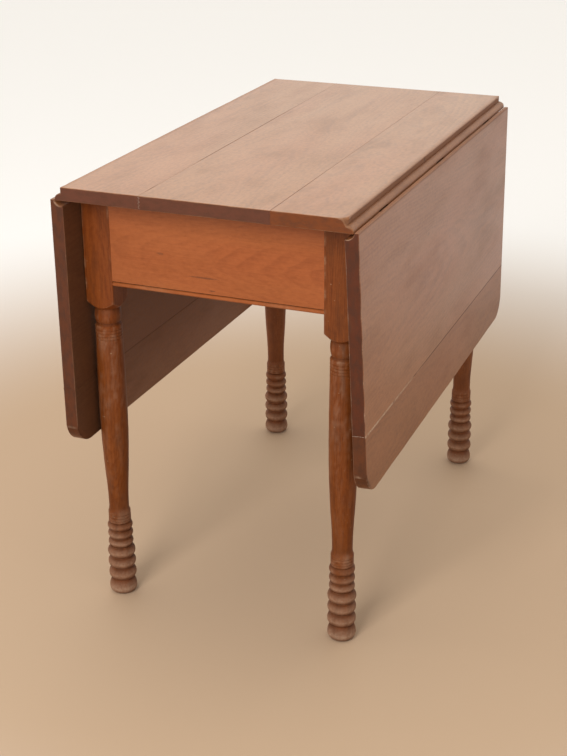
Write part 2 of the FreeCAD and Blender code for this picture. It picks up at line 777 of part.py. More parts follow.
def hung_screw(out, along, angle, lean, drop):
    """A screw of a leaf plate, turned down with the leaf about the hinge line."""
    side = 1 if angle == 0 else -1
    tilt = math.radians(lean.value)
    across = out * math.sin(tilt) - hinge_drop * math.cos(tilt)
    down = out * math.cos(tilt) + hinge_drop * math.sin(tilt)
    return copy_of(hinge_screw, (hinge_x + across) * side, along * side, hinge_z - down, drop)


def fly_screws(label):
    across = Rotation(Vector(0, 1, 0), 90)
    copies = []
    for angle in SIDES.values():
        side = 1 if angle == 0 else -1
        turn = Rotation(Vector(0, 0, 1), angle).multiply(across)
        for along in fly_screw_places():
            copies.append(copy_of(long_screw, side_rail_back_x * side, along,
                                  fly_bottom + size.fly_height / 2, turn))
    return group(label, copies)


hinge_screw = screw("hinge_screw", size.hinge_screw_length)
long_screw = screw("long_screw", size.fly_screw_length)

parts = [
    top_edge_board("top_right_board", size.right_board_width, UPRIGHT),
    top_edge_board("top_left_board", size.left_board_width, HALF_TURN),
    top_middle_board("top_middle_board"),
    end_rail("front_end_rail", UPRIGHT, -1),
    end_rail("back_end_rail", HALF_TURN, 1),
    glue_blocks("glue_blocks"),
    fly_screws("fly_block_screws"),
]
for side_name, angle in SIDES.items():
    side = 1 if angle == 0 else -1
    turn = Rotation(Vector(0, 0, 1), angle)
    lean = size.right_leaf_lean if angle == 0 else as_size(0)
    parts.append(leaf_inner_board(f"{side_name}_leaf_inner_board", angle, lean))
    parts.append(leaf_outer_board(f"{side_name}_leaf_outer_board", angle, lean))
    parts.append(side_rail(f"{side_name}_side_rail", turn))
    parts.append(fly_block(f"{side_name}_fly_block", turn, side))
    parts += hinge_set(side_name, angle, lean)
    for end_name, end in (("front", -1), ("back", 1)):
        parts.append(leg(f"{end_name}_{side_name}_leg", side, end))
        parts.append(fly_bracket(f"{side_name}_{end_name}_fly_bracket", side, end))
        parts.append(fly_pin(f"{side_name}_{end_name}_fly_pin", side, end))
doc.recompute()

for thing in doc.Objects:
    if {"Invalid", "Error"} & set(thing.State):
        raise RuntimeError(f"{thing.Label} did not recompute: {thing.State}")
for part in parts:
    if part.Shape.isNull() or not part.Shape.isValid():
        raise RuntimeError(f"{part.Label} has no valid shape")

os.makedirs("parts", exist_ok=True)
for part in parts:
    part.Shape.exportStep(os.path.join("parts", f"{part.Label}.step"))
    print(f"{part.Label}: {len(part.Shape.Solids)} solids, {part.Shape.Volume / 1000:.1f} cm3")
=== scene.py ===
import copy
import json
import math

import bmesh
import bpy
from mathutils import Matrix, Vector, noise


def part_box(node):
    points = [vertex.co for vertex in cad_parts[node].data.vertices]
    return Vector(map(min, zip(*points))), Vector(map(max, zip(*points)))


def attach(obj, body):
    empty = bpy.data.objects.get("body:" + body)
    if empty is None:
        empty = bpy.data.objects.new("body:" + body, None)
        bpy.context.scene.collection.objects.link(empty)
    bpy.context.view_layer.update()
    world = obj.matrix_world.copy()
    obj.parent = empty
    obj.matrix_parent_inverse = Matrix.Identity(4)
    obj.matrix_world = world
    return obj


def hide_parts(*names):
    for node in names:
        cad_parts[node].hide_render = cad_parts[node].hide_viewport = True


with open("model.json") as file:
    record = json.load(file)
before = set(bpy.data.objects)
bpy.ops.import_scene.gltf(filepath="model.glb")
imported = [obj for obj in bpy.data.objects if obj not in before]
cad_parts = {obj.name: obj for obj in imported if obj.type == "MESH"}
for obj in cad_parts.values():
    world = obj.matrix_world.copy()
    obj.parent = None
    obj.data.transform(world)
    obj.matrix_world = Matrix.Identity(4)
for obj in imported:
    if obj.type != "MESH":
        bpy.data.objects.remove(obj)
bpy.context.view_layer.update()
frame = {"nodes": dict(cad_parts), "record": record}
mm = 0.001

# places that the pieces share, read from the frame
joints = {joint["name"]: joint for joint in frame["record"]["behaviour"]["joints"]}
boxOf = {name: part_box(name) for name in frame["nodes"]}
hingeX, _, hingeZ = joints["right_leaf_hinge"]["pos_m"]
(leftSeamX, _, undersideZ), (rightSeamX, endY, topZ) = boxOf["top_middle_board"]
topEdgeX = boxOf["top_right_board"][1][0]
boardThick = topZ - undersideZ
hingeDrop = hingeZ - undersideZ
ovoloRadius = topEdgeX - hingeX
leafSeam = hingeZ - boxOf["left_leaf_inner_board"][0][2]
leafEdge = hingeZ - boxOf["left_leaf_outer_board"][0][2]
print("frame read:", len(frame["nodes"]), "nodes")


# shader helpers

def mathPair(operation):
    # an operator and its reflected form
    def plain(self, other):
        return self.sum(operation, self, other)

    def reflected(self, other):
        return self.sum(operation, other, self)

    return plain, reflected


class Wire:
    # a shader socket that takes sums, so masks read like plain maths
    __add__, __radd__ = mathPair("ADD")
    __sub__, __rsub__ = mathPair("SUBTRACT")
    __mul__, __rmul__ = mathPair("MULTIPLY")
    __truediv__, __rtruediv__ = mathPair("DIVIDE")

    def __init__(self, finish, socket):
        self.finish = finish
        self.socket = socket

    def out(self, number):
        # another output of the same node
        return Wire(self.finish, self.socket.node.outputs[number])

    def sum(self, operation, first, second=0.0):
        return self.finish.add("ShaderNodeMath", {"operation": operation}, {0: first, 1: second})

    def fract(self):
        return self.sum("FRACT", self)

    def root(self):
        return self.sum("SQRT", self)

    def ramp(self, low, high):
        # 0 under low, 1 over high, smooth between
        inputs = {"Value": self, "From Min": low, "From Max": high}
        return self.finish.add("ShaderNodeMapRange", {"interpolation_type": "SMOOTHSTEP"}, inputs)


class Nodes:
    # a node tree under construction

    def __init__(self, tree):
        self.tree = tree

    def add(self, kind, settings=None, inputs=None, out=0):
        # settings first, such as an operation, then values or links of sockets
        node = self.tree.nodes.new(kind)
        for name, value in (settings or {}).items():
            setattr(node, name, value)
        for name, value in (inputs or {}).items():
            self.feed(node.inputs[name], value)
        return Wire(self, node.outputs[out])

    def feed(self, socket, value):
        if isinstance(value, Wire):
            self.tree.links.new(value.socket, socket)
        elif socket.type == "RGBA" and len(value) == 3:
            socket.default_value = (*value, 1.0)
        else:
            socket.default_value = value

    def mix(self, share, first, second, blend="MIX"):
        settings = {"data_type": "RGBA", "blend_type": blend, "clamp_factor": True}
        return self.add("ShaderNodeMix", settings, {0: share, 6: first, 7: second}, out=2)

    def noise(self, vector, scale=1.0, detail=2.0, rough=0.5):
        inputs = {"Vector": vector, "Scale": scale, "Detail": detail, "Roughness": rough}
        return self.add("ShaderNodeTexNoise", {}, inputs)

    def spots(self, axes, sizes, detail=2.0, rough=0.5):
        # noise whose spots measure about these sizes along the three axes
        stretched = self.vector(*(axis / size for axis, size in zip(axes, sizes)))
        return self.noise(stretched, 1.0, detail, rough)

    def split(self, vector):
        first = self.add("ShaderNodeSeparateXYZ", {}, {0: vector})
        return first, first.out(1), first.out(2)

    def vector(self, x, y, z):
        return self.add("ShaderNodeCombineXYZ", {}, {0: x, 1: y, 2: z})

    def place(self):
        # the point itself, in the table's frame
        return self.add("ShaderNodeTexCoord", out=3)

    def bump(self, height, strength, distance):
        return self.add("ShaderNodeBump", {}, {"Strength": strength, "Distance": distance, "Height": height})


class Finish(Nodes):
    # a material with one shader

    def __init__(self, name):
        self.material = bpy.data.materials.new(name)
        self.material.use_nodes = True
        super().__init__(self.material.node_tree)
        self.tree.nodes.clear()
        self.shader = self.tree.nodes.new("ShaderNodeBsdfPrincipled")
        output = self.tree.nodes.new("ShaderNodeOutputMaterial")
        self.tree.links.new(self.shader.outputs[0], output.inputs[0])

    def set(self, **values):
        # sockets of the shader itself, by name with the spaces left out
        sockets = {socket.name.replace(" ", ""): socket for socket in self.shader.inputs}
        for name, value in values.items():
            self.feed(sockets[name], value)
        return self.material


# wood: growth rings round a wandering pith, fibres along the grain, pores and slow changes of tone

# width across the grain, length along it, and detail
figureSizes = {
    "fibre": (1.3 * mm, 90 * mm, 3.0),
    "fleck": (3 * mm, 30 * mm, 2.0),
    "streak": (7 * mm, 320 * mm, 2.0),
    "speckle": (4.5 * mm, 8 * mm, 4.0),
    "blotch": (60 * mm, 190 * mm, 3.0),
    "clear": (45 * mm, 260 * mm, 2.0),
    "pore": (0.9 * mm, 14 * mm, 2.0),
    "flush": (110 * mm, 420 * mm, 2.0),
}


def woodFigure(finish, axes, look):
    across, along, deep = axes
    figure = {}
    for name, (wide, long, detail) in figureSizes.items():
        figure[name] = finish.spots(axes, (wide, long, wide), detail)
    sway = finish.noise(finish.vector(along / look["swayLength"], 0.0, 0.0), 1.0, 1.0)
    rise = finish.noise(finish.vector(0.0, along / look["swayLength"], 7.0), 1.0, 1.0)
    wide = look["rippleWide"]
    waver = finish.spots(axes, (wide, wide * 5, wide)) - 0.5
    besides = across + (sway - 0.5) * look["sway"]
    below = deep + (rise - 0.5) * look["sway"]
    distance = (besides * besides + below * below).root() + waver * look["ripple"] + along * look["taper"]
    uneven = finish.noise(finish.vector(distance / (look["ringPitch"] * 6), 0.0, 3.0), 1.0, 1.0)
    ring = (distance / look["ringPitch"] + uneven * 3.0).fract()
    late = ring.ramp(0.15, 0.85) * (1 - ring.ramp(0.85, 1.0))
    ringShows = 0.25 + 0.75 * figure["clear"].ramp(0.38, 0.62)
    pores = figure["pore"].ramp(0.62, 0.76)
    tone = late * ringShows * look["lateShare"] + pores * look["poreShare"] + look["toneStart"]
    for name in ("fibre", "fleck", "streak", "speckle", "blotch"):
        tone = tone + (figure[name] - 0.5) * look[name + "Share"]
    colour = finish.mix(tone.ramp(0.0, 1.0), look["light"], look["dark"])
    flush = figure["flush"].ramp(0.35, 0.7) * look["flushShare"]
    colour = finish.mix(flush, colour, look["flush"], "SOFT_LIGHT")
    height = figure["fibre"] * 0.5 + pores * -0.8 + late * 0.3
    return colour, height, figure["blotch"]


def namedStains(finish, grain, axes, stains):
    # stains and dents at known places: an egg-shaped patch each, ragged at its rim
    ragged = (finish.noise(grain, 400.0, 3.0) - 0.5) * 1.3
    total = 0.0
    for stain in stains:
        sides = [(axis - at) / reach for axis, at, reach in zip(axes, stain["at"], stain["reach"])]
        far = sum(side * side for side in sides).root() + ragged
        total = (1 - far.ramp(0.4, 1.2)) * stain["share"] + total
    return total


def woodFinish(name, look, stains=()):
    # for the pieces made below, which carry their own grain, marks and end grain
    finish = Finish(name)
    grain = finish.add("ShaderNodeAttribute", {"attribute_name": "grain"}, out=1)
    marks = finish.add("ShaderNodeAttribute", {"attribute_name": "marks"})
    endGrain = finish.add("ShaderNodeAttribute", {"attribute_name": "endGrain"}, out=2)
    wear = finish.add("ShaderNodeSeparateColor", {}, {0: marks})
    grime, bare, tint = wear.out(1), wear.out(2), marks.out(3)
    axes = finish.split(grain)
    colour, height, blotch = woodFigure(finish, axes, look)
    # end grain has its own tone and dull patches
    drift = (finish.spots(axes, look["endDriftSize"], 3.0) - 0.5) * look["endDrift"]
    endTone = finish.mix((tint + drift).ramp(*look["endTurn"]), look["darkBoardEnd"], look["lightBoardEnd"])
    ends = finish.mix(0.35, endTone, finish.mix(1.0, colour, endTone, "OVERLAY"))
    dull = finish.spots(axes, look["endDullSize"], 4.0, 0.65).ramp(0.38, 0.70)
    ends = finish.mix(dull * look["endDull"], ends, look["grime"])
    colour = finish.mix(endGrain, colour, ends)
    colour = finish.mix(1.0, colour, finish.mix(tint, look["coolTint"], look["warmTint"]), "MULTIPLY")
    # then what the years have done, layer on layer
    rubbed = finish.noise(grain, 260.0, 3.0).ramp(0.3, 0.7)
    worn = wear * (0.35 + 0.65 * rubbed)
    wide, long = look["smudge"]
    smudge = finish.spots(axes, (wide, long, wide), 4.0, 0.6).ramp(0.45, 0.75)
    speck = finish.noise(grain, 170.0, 2.0).ramp(0.73, 0.79)
    dents = finish.add("ShaderNodeTexVoronoi", {}, {"Vector": grain, "Scale": look["dentScale"]})
    dents = 1 - dents.ramp(0.02, 0.05)
    layers = [
        (worn * look["wearShare"], "worn"),
        (bare * (0.65 + 0.35 * rubbed), "bare"),
        (smudge * look["smudgeShare"], "grime"),
        (speck * look["speckShare"], "speck"),
        (dents * look["dentShare"], "grime"),
    ]
    if stains:
        layers.append((namedStains(finish, grain, axes, stains), "stain"))
    layers.append((grime, "grime"))
    for share, paint in layers:
        colour = finish.mix(share, colour, look[paint])
    rough = look["roughness"] + (blotch - 0.5) * 0.16 + worn * 0.2
    rough = rough + bare * 0.25 + grime * 0.25 + smudge * 0.08
    return finish.set(
        BaseColor=colour,
        Roughness=rough,
        SpecularIORLevel=look["gloss"],
        CoatWeight=(1 - endGrain) * (1 - bare) * (1 - grime) * look["haze"],
        CoatRoughness=look["hazeRoughness"],
        Normal=finish.bump(height - dents * 1.5, look["bump"], 0.4 * mm),
    )


woodLook = {
    "ringPitch": 4.6 * mm,
    "taper": 0.05,
    "sway": 26 * mm,
    "swayLength": 0.45,
    "ripple": 7 * mm,
    "rippleWide": 32 * mm,
    "lateShare": 0.22,
    "fibreShare": 0.60,
    "fleckShare": 0.45,
    "streakShare": 0.35,
    "blotchShare": 0.40,
    "speckleShare": 0.25,
    "poreShare": 0.25,
    "toneStart": 0.36,
    "flush": (0.62, 0.42, 0.40),
    "flushShare": 0.25,
    "coolTint": (0.66, 0.62, 0.64),
    "warmTint": (1.34, 1.30, 1.20),
    "darkBoardEnd": (0.20, 0.07, 0.025),
    "lightBoardEnd": (0.25, 0.08, 0.03),
    "endTurn": (0.505, 0.53),
    "endDrift": 0.10,
    "endDriftSize": (50 * mm, 50 * mm, 30 * mm),
    "endDull": 0.5,
    "endDullSize": (18 * mm, 18 * mm, 9 * mm),
    "worn": (0.36, 0.22, 0.13),
    "wearShare": 0.5,
    "bare": (0.160, 0.080, 0.044),
    "grime": (0.036, 0.016, 0.009),
    "stain": (0.060, 0.022, 0.010),
    "smudge": (28 * mm, 260 * mm),
    "smudgeShare": 0.08,
    "speck": (0.34, 0.22, 0.13),
    "speckShare": 0.0,
    "dentScale": 11.0,
    "dentShare": 0.0,
    "roughness": 0.42,
    "gloss": 0.2,
    "haze": 0.0,
    "hazeRoughness": 0.36,
    "bump": 0.25,
}
topLook = dict(
    woodLook,
    light=(0.370, 0.154, 0.051),
    dark=(0.232, 0.088, 0.027),
    darkBoardEnd=(0.168, 0.050, 0.009),
    lightBoardEnd=(0.112, 0.041, 0.021),
    endTurn=(0.46, 0.49),
    fibreShare=0.40,
    fleckShare=0.25,
    streakShare=0.18,
    speckleShare=1.4,
    bare=(0.205, 0.076, 0.033),
    grime=(0.060, 0.022, 0.010),
    smudge=(45 * mm, 120 * mm),
    smudgeShare=0.16,
    dentShare=0.7,
    haze=0.90,
)
leafLook = dict(
    woodLook,
    light=(0.332, 0.134, 0.050),
    dark=(0.206, 0.077, 0.027),
    darkBoardEnd=(0.094, 0.025, 0.0065),
    lightBoardEnd=(0.108, 0.037, 0.012),
    # the leaves' paler worn colour and larger wear share are rubbed wear and a painted highlight on the
    # arrises
    worn=(0.48, 0.33, 0.22),
    bare=(0.215, 0.103, 0.064),
    fibreShare=0.50,
    fleckShare=0.35,
    speckleShare=1.0,
    smudge=(40 * mm, 150 * mm),
    wearShare=0.6,
    smudgeShare=0.15,
    dentShare=0.35,
    haze=0.40,
)
leftLeafLook = dict(leafLook, darkBoardEnd=(0.114, 0.036, 0.0105))
apronLook = dict(
    woodLook,
    light=(0.302, 0.088, 0.023),
    dark=(0.190, 0.048, 0.011),
    ringPitch=5.5 * mm,
    taper=-0.15,
    ripple=11 * mm,
    lateShare=0.20,
    fibreShare=0.40,
    fleckShare=0.25,
    streakShare=0.12,
    speckleShare=0.55,
    blotchShare=0.60,
    smudgeShare=0.05,
)
legLook = dict(
    woodLook,
    light=(0.185, 0.051, 0.010),
    dark=(0.094, 0.022, 0.004),
    bare=(0.355, 0.222, 0.146),
    ringPitch=2.6 * mm,
    ripple=2 * mm,
    lateShare=0.16,
    streakShare=0.50,
    speckleShare=0.50,
    speckShare=0.6,
    smudge=(13 * mm, 70 * mm),
    smudgeShare=0.30,
    roughness=0.38,
    gloss=0.12,
)
innerLook = dict(
    woodLook,
    light=(0.370, 0.205, 0.100),
    dark=(0.225, 0.115, 0.053),
    ringPitch=6 * mm,
    lateShare=0.35,
    fromPith=(0.04, 3.0, -0.62),
    dust=(0.085, 0.045, 0.024),
    dustShare=0.35,
    dustSize=(50 * mm, 300 * mm, 50 * mm),
    roughness=0.72,
    bump=0.4,
)
apronStains = [
    {"at": (0.06, 59.982, -0.029), "reach": (0.05, 27 * mm, 1.6 * mm), "share": 0.55},
    {"at": (0.06, 59.995, -0.048), "reach": (0.05, 6 * mm, 1.2 * mm), "share": 0.6},
    {"at": (0.06, 59.910, 0.001), "reach": (0.05, 6.5 * mm, 2.0 * mm), "share": 0.42},
]


def innerFinish(name, look):
    # dry unpolished wood on the solids that show as they are, grain along the table
    finish = Finish(name)
    place = finish.place()
    grain = finish.add("ShaderNodeVectorMath", {"operation": "ADD"}, {0: place, 1: look["fromPith"]})
    colour, height, blotch = woodFigure(finish, finish.split(grain), look)
    dust = finish.spots(finish.split(place), look["dustSize"], 4.0, 0.6).ramp(0.4, 0.8)
    return finish.set(
        BaseColor=finish.mix(dust * look["dustShare"], colour, look["dust"]),
        Roughness=look["roughness"] + (blotch - 0.5) * 0.2,
        Normal=finish.bump(height, look["bump"], 0.5 * mm),
    )


def ironFinish(name, black, brown):
    # black iron, rusted in patches
    finish = Finish(name)
    rust = finish.noise(finish.place(), 140.0, 5.0, 0.65).ramp(0.46, 0.66)
    pits = finish.noise(finish.place(), 1400.0, 2.0)
    return finish.set(
        BaseColor=finish.mix(rust, black, brown),
        Metallic=0.85 - rust * 0.7,
        Roughness=0.42 + rust * 0.35 + (pits - 0.5) * 0.2,
        Normal=finish.bump(pits + rust, 0.35, 0.2 * mm),
    )


def steelFinish(name, clean, brown):
    # dull steel, brown in its hollows
    finish = Finish(name)
    stain = finish.noise(finish.place(), 320.0, 4.0, 0.6).ramp(0.4, 0.7)
    return finish.set(
        BaseColor=finish.mix(stain, clean, brown),
        Metallic=0.95 - stain * 0.4,
        Roughness=0.36 + stain * 0.3,
        Normal=finish.bump(stain, 0.2, 0.1 * mm),
    )


def fillerFinish(name, pale, dirty):
    # crumbling putty
    finish = Finish(name)
    dirt = finish.noise(finish.place(), 500.0, 3.0).ramp(0.42, 0.68)
    return finish.set(BaseColor=finish.mix(dirt, pale, dirty), Roughness=0.85)


topWood = woodFinish("topWood", topLook)
leafWoods = {"right": woodFinish("leafWood", leafLook), "left": woodFinish("leftLeafWood", leftLeafLook)}
apronWood = woodFinish("apronWood", apronLook, apronStains)
legWood = woodFinish("legWood", legLook)
innerWood = innerFinish("innerWood", innerLook)
hingeIron = ironFinish("hingeIron", black=(0.045, 0.040, 0.036), brown=(0.125, 0.055, 0.024))
screwSteel = steelFinish("screwSteel", clean=(0.34, 0.32, 0.29), brown=(0.13, 0.085, 0.05))
paleFiller = fillerFinish("paleFiller", pale=(0.42, 0.33, 0.26), dirty=(0.17, 0.10, 0.065))
print("finishes made")


# shape helpers

def lift(low, high, value):
    # 0 at low, 1 at high, smooth between; low may be the larger
    share = min(max((value - low) / (high - low), 0.0), 1.0)
    return share * share * (3 - 2 * share)


def ripple(*place):
    # smooth noise, about 0 to 1
    return min(max(0.5 + 0.6 * noise.noise(Vector(place)), 0.0), 1.0)


def skinned(loops):
    # faces between loops of points, and one over each end
    faces = []
    for first, second in zip(loops, loops[1:]):
        for i in range(len(first)):
            after = (i + 1) % len(first)
            faces.append((first[i], first[after], second[after], second[i]))
    return faces + [tuple(loops[0]), tuple(loops[-1])]


def addPiece(name, points, loops, material, body):
    # a closed mesh that moves with a body
    mesh = bpy.data.meshes.new(name)
    mesh.from_pydata(points, [], skinned(loops))
    shape = bmesh.new()
    shape.from_mesh(mesh)
    bmesh.ops.recalc_face_normals(shape, faces=shape.faces)
    shape.to_mesh(mesh)
    shape.free()
    mesh.materials.append(material)
    piece = bpy.data.objects.new(name, mesh)
    bpy.context.scene.collection.objects.link(piece)
    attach(piece, body)
    return piece


smoothUnder = 50  # degrees between two faces
pointDetails = [
    ("grain", "FLOAT_VECTOR", "vector"),
    ("marks", "FLOAT_COLOR", "color"),
    ("endGrain", "FLOAT", "value"),
]


class Timber:
    # gathers one wooden piece: its points, and what the finish needs to know at each of them

    def __init__(self, name):
        self.name = name
        self.points = []
        self.loops = []

    def point(self, place, grain, marks, endGrain=0.0):
        self.points.append((place, grain, marks, (endGrain,)))
        return len(self.points) - 1

    def build(self, node, body, slot, material):
        places, *details = zip(*self.points)
        piece = addPiece(self.name, places, self.loops, material, body)
        mesh = piece.data
        for rows, (name, kind, field) in zip(details, pointDetails):
            values = [value for row in rows for value in row]
            mesh.attributes.new(name, kind, "POINT").data.foreach_set(field, values)
        mesh.polygons.foreach_set("use_smooth", [True] * len(mesh.polygons))
        mesh.set_sharp_from_angle(angle=math.radians(smoothUnder))
        normals = piece.modifiers.new("evenNormals", "WEIGHTED_NORMAL")
        normals.keep_sharp = True
        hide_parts(node)


class Corner:
    # a corner of a board's section: how round it is, and what lies on it

    def __init__(self, u, v, radius=0.0, pieces=1, seam=0, grime=0.0, bare=0.0, wear=0.0, ends=0.0):
        self.place = Vector((u, v))
        self.radius = radius
        self.pieces = pieces
        self.seam = seam
        self.grime = grime
        self.bare = bare
        self.wear = wear
        self.ends = ends

    def at(self, place, edge=0.0, room=1.0):
        # a point with this corner's marks: how far it is an arris, and how much may be rounded off it
        point = copy.copy(self)
        point.place = place
        point.edge = edge
        point.room = room
        return point


arcSteps = 5
deepestChip = 4.6 * mm
endTurns = (90, 70, 50, 30, 12, 0)
spacing = {
    "wide": 9 * mm,
    "close": 3.5 * mm,
    "nearEnd": 60 * mm,
    "nearChip": 30 * mm,
    "fromEnd": 3 * mm,
    "fromBend": 6 * mm,
}


def sectionPoints(corners):
    # rounds the corners and divides the straight stretches; the count never depends on the radii
    points = []
    for i, corner in enumerate(corners):
        following = corners[(i + 1) % len(corners)]
        points += cornerPoints(corners[i - 1].place, corner, following.place)
        for step in range(1, corner.pieces):
            share = step / corner.pieces
            between = corner.at(corner.place.lerp(following.place, share))
            between.grime = min(corner.grime, following.grime)
            between.wear = min(corner.wear, following.wear)
            between.ends = min(corner.ends, following.ends)
            between.seam = 0
            between.bare = corner.bare + (following.bare - corner.bare) * share
            if corner.bare < 0.5:
                between.bare = following.bare
            points.append(between)
    for i, point in enumerate(points):
        along = points[(i + 1) % len(points)].place - points[i - 1].place
        point.normal = Vector((along.y, -along.x)).normalized()
        if point.seam:
            point.normal = Vector((0.0, point.seam))
    return points


def cornerPoints(before, corner, after):
    here = corner.place
    if corner.radius <= 0:
        return [corner.at(here)]
    toBefore = (before - here).normalized()
    toAfter = (after - here).normalized()
    half = toBefore.angle(toAfter) / 2
    centre = here + (toBefore + toAfter).normalized() * (corner.radius / math.sin(half))
    start = here + toBefore * (corner.radius / math.tan(half)) - centre
    finish = here + toAfter * (corner.radius / math.tan(half)) - centre
    sweep = math.pi - 2 * half
    found = []
    for step in range(arcSteps + 1):
        share = step / arcSteps
        place = (start * math.sin((1 - share) * sweep) + finish * math.sin(share * sweep)) / math.sin(sweep)
        found.append(corner.at(centre + place, math.sin(math.pi * share), corner.radius * 0.9))
    return found


def arcCorners(centre, reach, first, last, steps, grime=0.0):
    # points along a worked moulding, angles in degrees; painted shade builds up towards its last point
    found = []
    for step in range(steps + 1):
        share = step / steps
        angle = math.radians(first + (last - first) * share)
        place = centre[0] + reach[0] * math.cos(angle), centre[1] + reach[1] * math.sin(angle)
        found.append(Corner(*place, grime=grime * lift(0.3, 0.9, share)))
    return found


def wornRadius(radius, station, seed, chips=()):
    # the arris is softer in some places than in others, and broken at the chips
    soft = radius * (0.65 + 0.7 * ripple(station * 17, seed * 3.7, 1.5))
    soft *= 0.9 + 0.2 * ripple(station * 90, seed * 5.1, 8.5)
    for chip in chips:
        reach = (station - chip["at"]) / chip["length"]
        soft += chip["depth"] * math.exp(-reach * reach) * (0.6 + 0.8 * ripple(station * 420, seed, 4.0))
    return min(soft, deepestChip)


def spacedStations(reach, chips=()):
    # close together near both ends and at the chips, wider apart between them
    found = [-reach]
    while found[-1] < reach - spacing["close"]:
        here = found[-1]
        near = here + reach < spacing["nearEnd"] or reach - here < spacing["nearEnd"]
        near = near or any(abs(here - chip["at"]) < spacing["nearChip"] for chip in chips)
        found.append(here + (spacing["close"] if near else spacing["wide"]))
    found[-1] = reach
    return found


def endBreak(board, end, place):
    # how much more is gone from the end of a board at its chips, and how broken it looks there
    more, broken = 0.0, 0.0
    for chip in board.get("endChips", ()):
        if chip["end"] == end:
            gap = (place - Vector(chip["at"])).length / chip["reach"]
            more += chip["depth"] * math.exp(-gap * gap)
            broken = max(broken, math.exp(-gap * gap))
    return more, broken


def makeBar(timber, board, cornersAt, stations, reach, softness, toWorld, squeezeAt=None):
    # sweeps a section along a board; both ends are rounded over
    pithU, pithV = board["pith"]
    walk = [(-reach, -1, turn) for turn in endTurns]
    walk += [(station, 0, 0) for station in stations]
    walk += [(reach, 1, turn) for turn in reversed(endTurns)]
    for station, end, turn in walk:
        inside = min(max(station, softness - reach), reach - softness)
        squeeze = squeezeAt(inside) if squeezeAt else 1.0
        rounding = math.radians(turn)
        loop = []
        for point in sectionPoints(cornersAt(inside)):
            place, here = point.place, station
            broken = 0.0
            if end:
                more, broken = endBreak(board, end, place)
                radius = softness * (0.8 + 0.4 * ripple(place.x * 45, place.y * 45, 3 * end)) + more
                radius = min(radius, point.room)
                place = place - point.normal * (radius * (1 - math.cos(rounding)))
                here = station + end * radius * (math.sin(rounding) - 1)
            edge = max(point.edge, math.sin(2 * rounding))
            rub = edge * lift(0.30, 0.75, ripple(place.x * 60, here * 38, place.y * 60 + 9))
            rub *= board.get("rubbed", 1.0)
            endGrain = max(lift(0.35, 0.95, math.sin(rounding)), point.ends)
            # none on the flat end, which is one face
            wear = 0.0 if turn == 90 else max(rub, broken, point.wear)
            marks = (wear, point.grime * (1 - endGrain), point.bare * (1 - endGrain), board["tint"])
            u, v = place.x / squeeze, place.y
            grain = (u - pithU, here + board["shift"], v - pithV)
            loop.append(timber.point(toWorld(u, here, v), grain, marks, endGrain))
        timber.loops.append(loop)


# hinge sinkings, the same on top and leaf as in the frame
hingePlate = {
    "topReach": hingeX - boxOf["right_front_hinge_top_plate"][0][0],
    "leafReach": hingeZ - boxOf["left_front_hinge_leaf_plate"][0][2],
    "thick": 2 * mm,
    "slack": 0.25 * mm,
    "barrelSlack": 0.6 * mm,
}
hingeSpans = []
for place in ("front", "middle", "back"):
    pinLow, pinHigh = boxOf[f"right_{place}_hinge_pin"]
    hingeSpans.append((pinLow[1] - hingePlate["slack"], pinHigh[1] + hingePlate["slack"]))
wallStep = 0.05 * mm


def isSunk(station):
    return any(first < station < last for first, last in hingeSpans)


def hingedStations(board):
    # two stations at each end of a hinge, so that the sinking has upright walls
    walls = [edge + step for span in hingeSpans for edge in span for step in (-wallStep, wallStep)]
    stations = list(walls)
    for station in spacedStations(endY - spacing["fromEnd"], board["chips"]):
        if all(abs(station - wall) > 3 * wallStep for wall in walls):
            stations.append(station)
    return sorted(stations)


# the top: three boards, the outer two with the rounded half of the rule joint
topBoards = {
    "arris": 1.5 * mm,
    "endRadius": 1.5 * mm,
    "lowerArris": 0.3 * mm,
    "roundHeight": 8 * mm,
    "roundRubbed": 0.5,
    # painted shade: the rounded part darkens towards the crease under its wall, and the wall and its step are
    # darker
    "roundGrime": 0.22,
    "wallBare": 0.85,
    "wallGrime": 0.12,
    "wallBelowArris": 0.5 * mm,
    "stepGrime": 0.2,
    "brokenReach": (9 * mm, 5 * mm),
    "brokenHeights": (1.2 * mm, 4 * mm),
    "brokenShares": (0.12, 0.4, 0.5),
    "brokenWear": 0.8,
    "fullyWornAt": 4 * mm,
    "seamGap": 0.09 * mm,
    "seamArris": 0.35 * mm,
    "seamDirt": 1.1 * mm,
    "seamGrime": 0.85,
    "leftSeamOpens": (-0.26, -0.18),
    "leftSeamCloses": (0.12, 0.24),
    "leftCrack": -0.372,
    "crackReach": 0.03,
    "rightSeamCloses": (-0.32, -0.12),
    "right": {
        "tint": 0.45,
        "brokenCorner": 7 * mm,
        "pith": (0.145, -0.085),
        "shift": 3.0,
        "chips": [
            {"at": -0.410, "length": 9 * mm, "depth": 1.8 * mm},
            {"at": 0.405, "length": 5 * mm, "depth": 1.2 * mm},
            {"at": -0.12, "length": 6 * mm, "depth": 0.7 * mm},
        ],
        "endChips": [
            {"end": -1, "at": (hingeX - 5 * mm, boardThick), "reach": 7 * mm, "depth": 1.6 * mm},
            {"end": -1, "at": (hingeX + 5 * mm, 10 * mm), "reach": 6 * mm, "depth": 1.8 * mm},
        ],
    },
    "left": {
        "tint": 0.51,
        "brokenCorner": 0.0,
        "pith": (0.20, -0.06),
        "shift": 7.0,
        "chips": [
            {"at": 0.40, "length": 6 * mm, "depth": 0.8 * mm},
            {"at": -0.2, "length": 9 * mm, "depth": 0.6 * mm},
        ],
    },
    "middle": {"tint": 0.50, "pith": (-0.01, -0.11), "shift": 11.0},
}


def onTop(u, station, v):
    return u, station, undersideZ + v


def onTopTurned(u, station, v):
    return -u, -station, undersideZ + v


